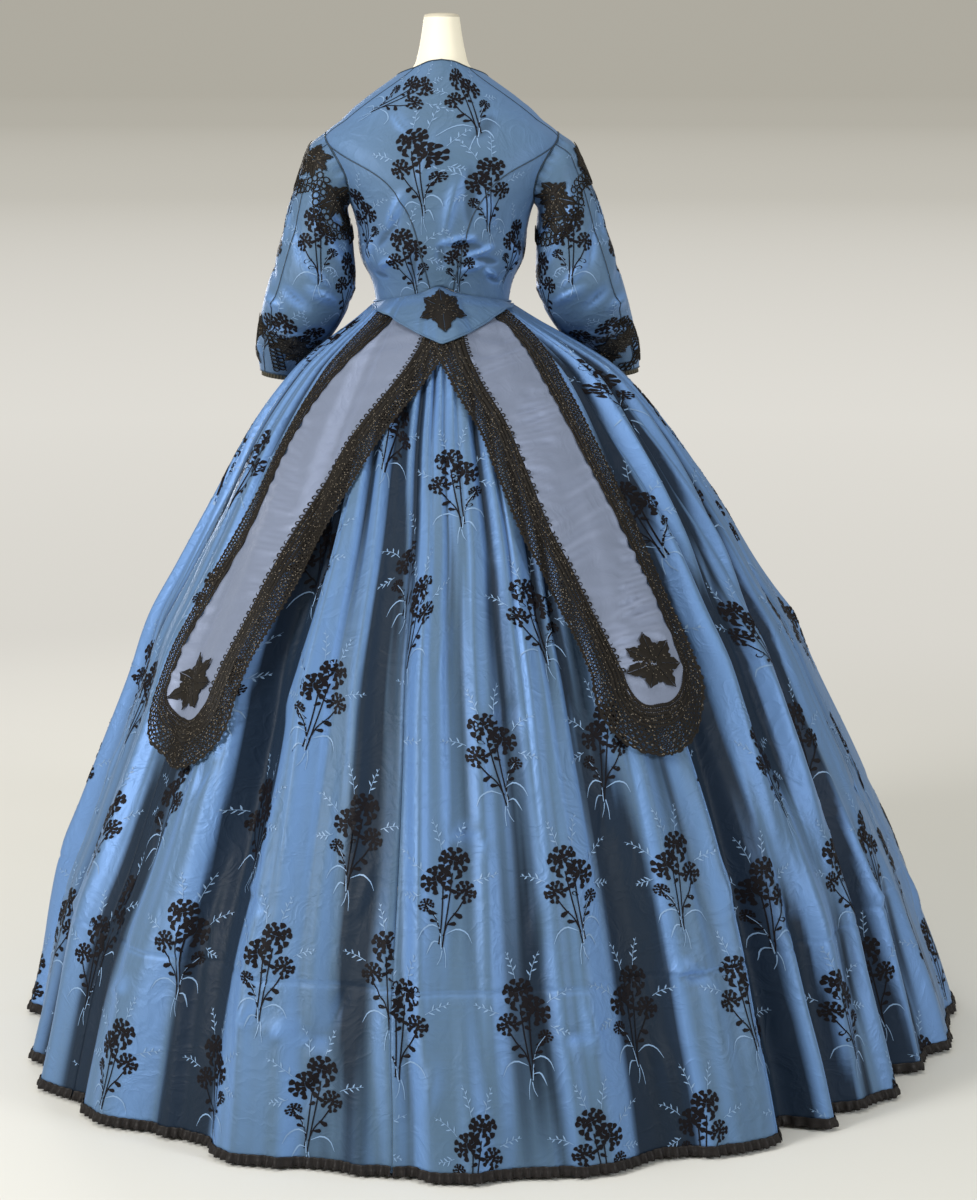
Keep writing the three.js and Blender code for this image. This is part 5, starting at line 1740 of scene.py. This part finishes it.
# Lace on the sleeves: the double chains' (turn, row) points, and the motifs' turn, row, lean,
# leaves, length, width
EPAULETTES = {
    "left": (([(24, 2.12), (42, 1.95), (58, 1.68), (72, 1.3), (83, 0.95)],
              [(79, 1.2), (82, 1.7), (87, 2.15), (108, 2.45), (145, 2.35), (185, 2.0)],
              [(24, 2.12), (0, 1.9), (-30, 1.7), (-60, 1.5)]),
             ((49, 0.9, 20, 6, 30, 14), (122, 1, 0, 7, 32, 13), (150, 1.7, 60, 5, 24, 10),
              (6, 1.2, 0, 6, 26, 12), (-40, 1, 0, 6, 24, 11))),
    "right": (([(15, 1.92), (38, 1.8), (60, 1.85), (66, 2.35), (87, 2.62), (121, 2.68),
                (150, 2.5), (179, 2.1)],
               [(15, 1.92), (-10, 1.8), (-38, 1.6), (-64, 1.4)]),
              ((108, 1.25, 0, 7, 32, 13), (122, 1.95, 80, 5, 24, 10), (12, 1.3, 20, 6, 30, 14),
               (-38, 1.05, 0, 6, 24, 11))),
}
CUFFS = {
    "left": (([(34, 5.95), (50, 6.15), (63, 6.45), (79, 7.15), (89, 7.75)],
              [(34, 5.95), (8, 6.2), (-20, 6.8), (-50, 7.4), (-90, 7.5), (-140, 7.5), (-180, 7.6)]),
             ((20, 5.95, 0, 6, 20, 9), (98, 6.54, 8, 7, 31, 14), (118, 6.9, 80, 6, 28, 13),
              (150, 7, 0, 6, 24, 11), (0, 6.9, 0, 6, 24, 11), (-60, 6.7, 0, 6, 24, 11),
              (-120, 6.9, 0, 6, 24, 11))),
    "right": (([(50, 5.75), (32, 6.1), (25, 6.6), (28, 7.15), (50, 7.7), (80, 7.75)],
               [(28, 7.15), (0, 7.3), (-40, 7.5), (-90, 7.5), (-140, 7.5), (-180, 7.5)]),
              ((80, 6.75, 0, 7, 33, 15), (104, 7.1, 60, 6, 26, 12), (52, 6.4, 40, 6, 26, 12),
               (150, 7, 0, 6, 24, 11), (-10, 6.6, 0, 6, 24, 11), (-70, 6.9, 0, 6, 24, 11),
               (-125, 6.9, 0, 6, 22, 10))),
}


class DRESS_OT_sleeve_lace(bpy.types.Operator):
    """The lace epaulettes and cuff lace: double ring chains and leafy motifs"""
    bl_idname = "dress.sleeve_lace"
    bl_label = "Epaulettes and cuff lace"

    def execute(self, context):
        for word, side in SIDES:
            for piece, (chains, motifs), rests_on in (
                    ("epaulette_", EPAULETTES[word], "sleeve_upper_"),
                    ("cuff_lace_", CUFFS[word], "sleeve_under_")):
                face, lots, run = sleeve_face(side), [], 0
                for chain in chains:
                    line = [(side * turn, -row) for turn, row in chain]
                    places = along(face, line, CHAIN_PITCH, SLEEVE_STEPS)
                    run += CHAIN_PITCH * len(places)
                    lots.append(stamped(face, chain_link(), places, 0.8, SLEEVE_STEPS))
                for turn, row, lean, leaves, length, width in motifs:
                    lots.append(stamped(face, leafy_motif(leaves, length, width), [
                        (side * turn, -row, side * lean, 1, side < 0)], 1.3, SLEEVE_STEPS))
                obj = lace_piece(piece + word, lots)
                widest = 2 * max(length for *_, length, width in motifs)
                declare(obj, widest, run, mesh_area(obj), "laid", [rests_on + word])
        return {"FINISHED"}


# ---- the form, the stage and the camera ----------------------------------------------------
FORM_BOTTOM, NECK_FROM, NECK_TOP = 862, 1345, 1437
BACKDROP, FLOOR = (0.425, 0.405, 0.350), 400
# The camera: its place, its angle down, and its focal length as a share of the frame's height
EYE, LOOK_DOWN, FOCAL_SHARE = (-0.066, 4.2, 1.34), 9.98, 2920 / 1200
# Name, place, size, power, colour
LIGHTS = (
    ("key", (3.4, 3.0, 2.5), 1.3, 185, (1, 0.98, 0.95)),
    ("right", (-3.5, 3.0, 2.0), 1.1, 78, (0.94, 0.97, 1)),
    ("top", (0.4, 0.9, 4.2), 2.0, 40, (1, 0.99, 0.97)),
    ("front", (1.6, -4.4, 1.25), 2.0, 90, (1, 0.98, 0.96)),
)
LIT_MIDDLE = (0, 0, 0.75)


class DRESS_OT_form(bpy.types.Operator):
    """The covered form under the dress, and its pole and base"""
    bl_idname = "dress.form"
    bl_label = "Form"

    def execute(self, context):
        z = np.concatenate([np.arange(FORM_BOTTOM, NECK_FROM, 7.0),
                            np.arange(NECK_FROM, NECK_TOP, 3.0), [NECK_TOP]])
        phi = np.arange(0, 360, 3.75)
        inset = mix(7, 3, smooth((z - NECK_FROM) / 25))
        rings = []
        for level, room in zip(z, inset):
            ring = torso(phi, level)
            out = unit(np.roll(ring, -1, 0) - np.roll(ring, 1, 0)) @ np.array(
                [(0, -1, 0), (1, 0, 0), (0, 0, 0)])
            rings.append(ring - out * room)
        top, middle = rings[-1], rings[-1].mean(0)
        for share, rise in ((0.985, 1.2), (0.93, 2.6), (0.7, 4.0), (0.35, 4.8)):
            rings.append(middle + (top - middle) * share + (0, 0, rise))
        points = np.concatenate(rings + [[middle + (0, 0, 5.0)], [rings[0].mean(0)]])
        rows, n = len(rings), len(phi)
        last = (rows - 1) * n
        caps = [face for k in range(n) for face in (
            (last + k, last + (k + 1) % n, rows * n), ((k + 1) % n, k, rows * n + 1))]
        obj = new_mesh("form_torso", points, strips(rows, n, closed=True) + caps)
        finish_piece(obj, ["form_torso"], [form_cover()])
        metal, start = begin("stand metal")
        noise = start.noise(60.0, 4.0)
        close(start, start.shader(
            Base_Color=blend(start, noise, (0.035, 0.035, 0.038), (0.06, 0.06, 0.062)),
            Roughness=noise * 0.25 + 0.3, Metallic=0.8))
        for node in ("form_pole", "form_base"):
            for slot in bpy.data.objects[node].material_slots:
                slot.material = metal
        return {"FINISHED"}


def form_cover():
    """Cream jersey, a little darker at the neck's rim."""
    material, start = begin("form cover")
    height = start.node("SeparateXYZ", None, {"Vector": start.node("TexCoord", out=3)}, out=2)
    noise, knit = start.noise(35.0, 4.0), start.noise(1500.0, 1.0)
    rim = ((height - (NECK_TOP - 1.5) * MM) * 900.0).held()
    base = blend(start, noise * 0.35, colours().form, [v * 0.9 for v in colours().form])
    base = blend(start, rim * 0.6, base, (0.30, 0.27, 0.21))
    bump = start.node("Bump", None, {"Strength": 0.35, "Distance": 0.0004,
                                     "Height": knit * 0.6 + noise * 0.8})
    close(start, start.shader(Base_Color=base, Roughness=noise * 0.1 + 0.62, Normal=bump))
    return material


class DRESS_OT_stage(bpy.types.Operator):
    """A pale floor, soft lights and the camera"""
    bl_idname = "dress.stage"
    bl_label = "Stage"

    def execute(self, context):
        scene = context.scene
        camera = bpy.data.cameras.new("camera")
        camera.sensor_width, camera.sensor_fit = 36, "AUTO"
        camera.lens = camera.sensor_width * FOCAL_SHARE
        camera.clip_end = 2 * FLOOR
        eye = bpy.data.objects.new("camera", camera)
        eye.location = EYE
        eye.rotation_euler = (math.radians(90 - LOOK_DOWN), 0, math.pi)
        scene.collection.objects.link(eye)
        scene.camera = eye
        bpy.ops.object.select_all(action="DESELECT")
        bpy.ops.mesh.primitive_circle_add(vertices=96, radius=FLOOR, fill_type="NGON")
        floor = context.object
        floor.name = "floor"
        bpy.ops.object.mode_set(mode="EDIT")
        for share in (0.5, 0.25, 0.125):
            bpy.ops.mesh.inset(thickness=FLOOR * share)
        bpy.ops.object.mode_set(mode="OBJECT")
        floor.data.materials.append(self.floor_paint())
        for name, where, size, power, colour in LIGHTS:
            light = bpy.data.lights.new(name, "AREA")
            light.shape, light.size, light.energy, light.color = "DISK", size, power, colour
            lamp = bpy.data.objects.new(name, light)
            lamp.location = where
            aim = np.array(LIT_MIDDLE) - where
            lamp.rotation_euler = (math.atan2(math.hypot(*aim[:2]), -aim[2]), 0,
                                   math.atan2(aim[1], aim[0]) - math.pi / 2)
            scene.collection.objects.link(lamp)
        world = bpy.data.worlds.new("studio")
        world.use_nodes = True
        background = world.node_tree.nodes["Background"]
        background.inputs["Color"].default_value = (*BACKDROP, 1)
        scene.world = world
        scene.view_settings.view_transform = "Standard"
        return {"FINISHED"}

    def floor_paint(self):
        """A pale floor near the dress; further out it glows with painted light, which fades into
        the backdrop with distance.
        """
        material, start = begin("floor")
        far = start.node("VectorMath", {"operation": "LENGTH"},
                         {0: start.node("TexCoord", out=3)}, out=1) * (1 / FLOOR)
        # Painted light: the glow's colour by distance, a little brighter some metres out, then
        # fading to the backdrop
        glow = start.node("ValToRGB", {"stops": (
            (0.0, (0.66, 0.64, 0.59)), (0.02, (0.74, 0.72, 0.67)), (0.04, (0.67, 0.65, 0.60)),
            (0.08, (0.54, 0.52, 0.465)), (0.25, (0.45, 0.43, 0.375)), (1.0, BACKDROP))},
            {"Fac": far})
        pale = start.shader(Base_Color=(0.70, 0.70, 0.67, 1),
                            Roughness=start.noise(3.0, 4.0) * 0.1 + 0.8, Specular_IOR_Level=0.1)
        # The floor glows with it though it is no lamp
        lit = start.node("Emission", None, {"Color": glow, "Strength": 1.0})
        edge = start.node("MapRange", {"interpolation_type": "SMOOTHSTEP"}, {
            "Value": far, "From Min": 1.0 / FLOOR, "From Max": 3.2 / FLOOR})
        close(start, start.node("MixShader", None, {0: edge, 1: pale, 2: lit}))
        return material


# ---- the panel, and running it all ---------------------------------------------------------
STEPS = (DRESS_OT_stage, DRESS_OT_form, DRESS_OT_skirt, DRESS_OT_ruffle, DRESS_OT_tabs,
         DRESS_OT_tab_lace, DRESS_OT_basque, DRESS_OT_bodice, DRESS_OT_buttons,
         DRESS_OT_sleeves, DRESS_OT_sleeve_lace)


class DRESS_PT_panel(bpy.types.Panel):
    """The dress's sizes, its colours and its steps"""
    bl_idname = "DRESS_PT_panel"
    bl_label = "Day Dress"
    bl_space_type = "VIEW_3D"
    bl_region_type = "UI"
    bl_category = "Day Dress"

    def draw(self, context):
        for group in (sizes(), colours()):
            for name in group.__annotations__:
                self.layout.prop(group, name)
        for step in STEPS:
            self.layout.operator(step.bl_idname)


CLASSES = (DressSizes, DressColours, *STEPS, DRESS_PT_panel)


def register():
    for made in CLASSES:
        bpy.utils.register_class(made)
    bpy.types.Scene.dress_sizes = PointerProperty(type=DressSizes)
    bpy.types.Scene.dress_colours = PointerProperty(type=DressColours)


def unregister():
    del bpy.types.Scene.dress_colours
    del bpy.types.Scene.dress_sizes
    for made in reversed(CLASSES):
        bpy.utils.unregister_class(made)


def main():
    register()
    for step in STEPS:
        group, name = step.bl_idname.split(".")
        getattr(getattr(bpy.ops, group), name)()


if __name__ == "__main__":
    main()
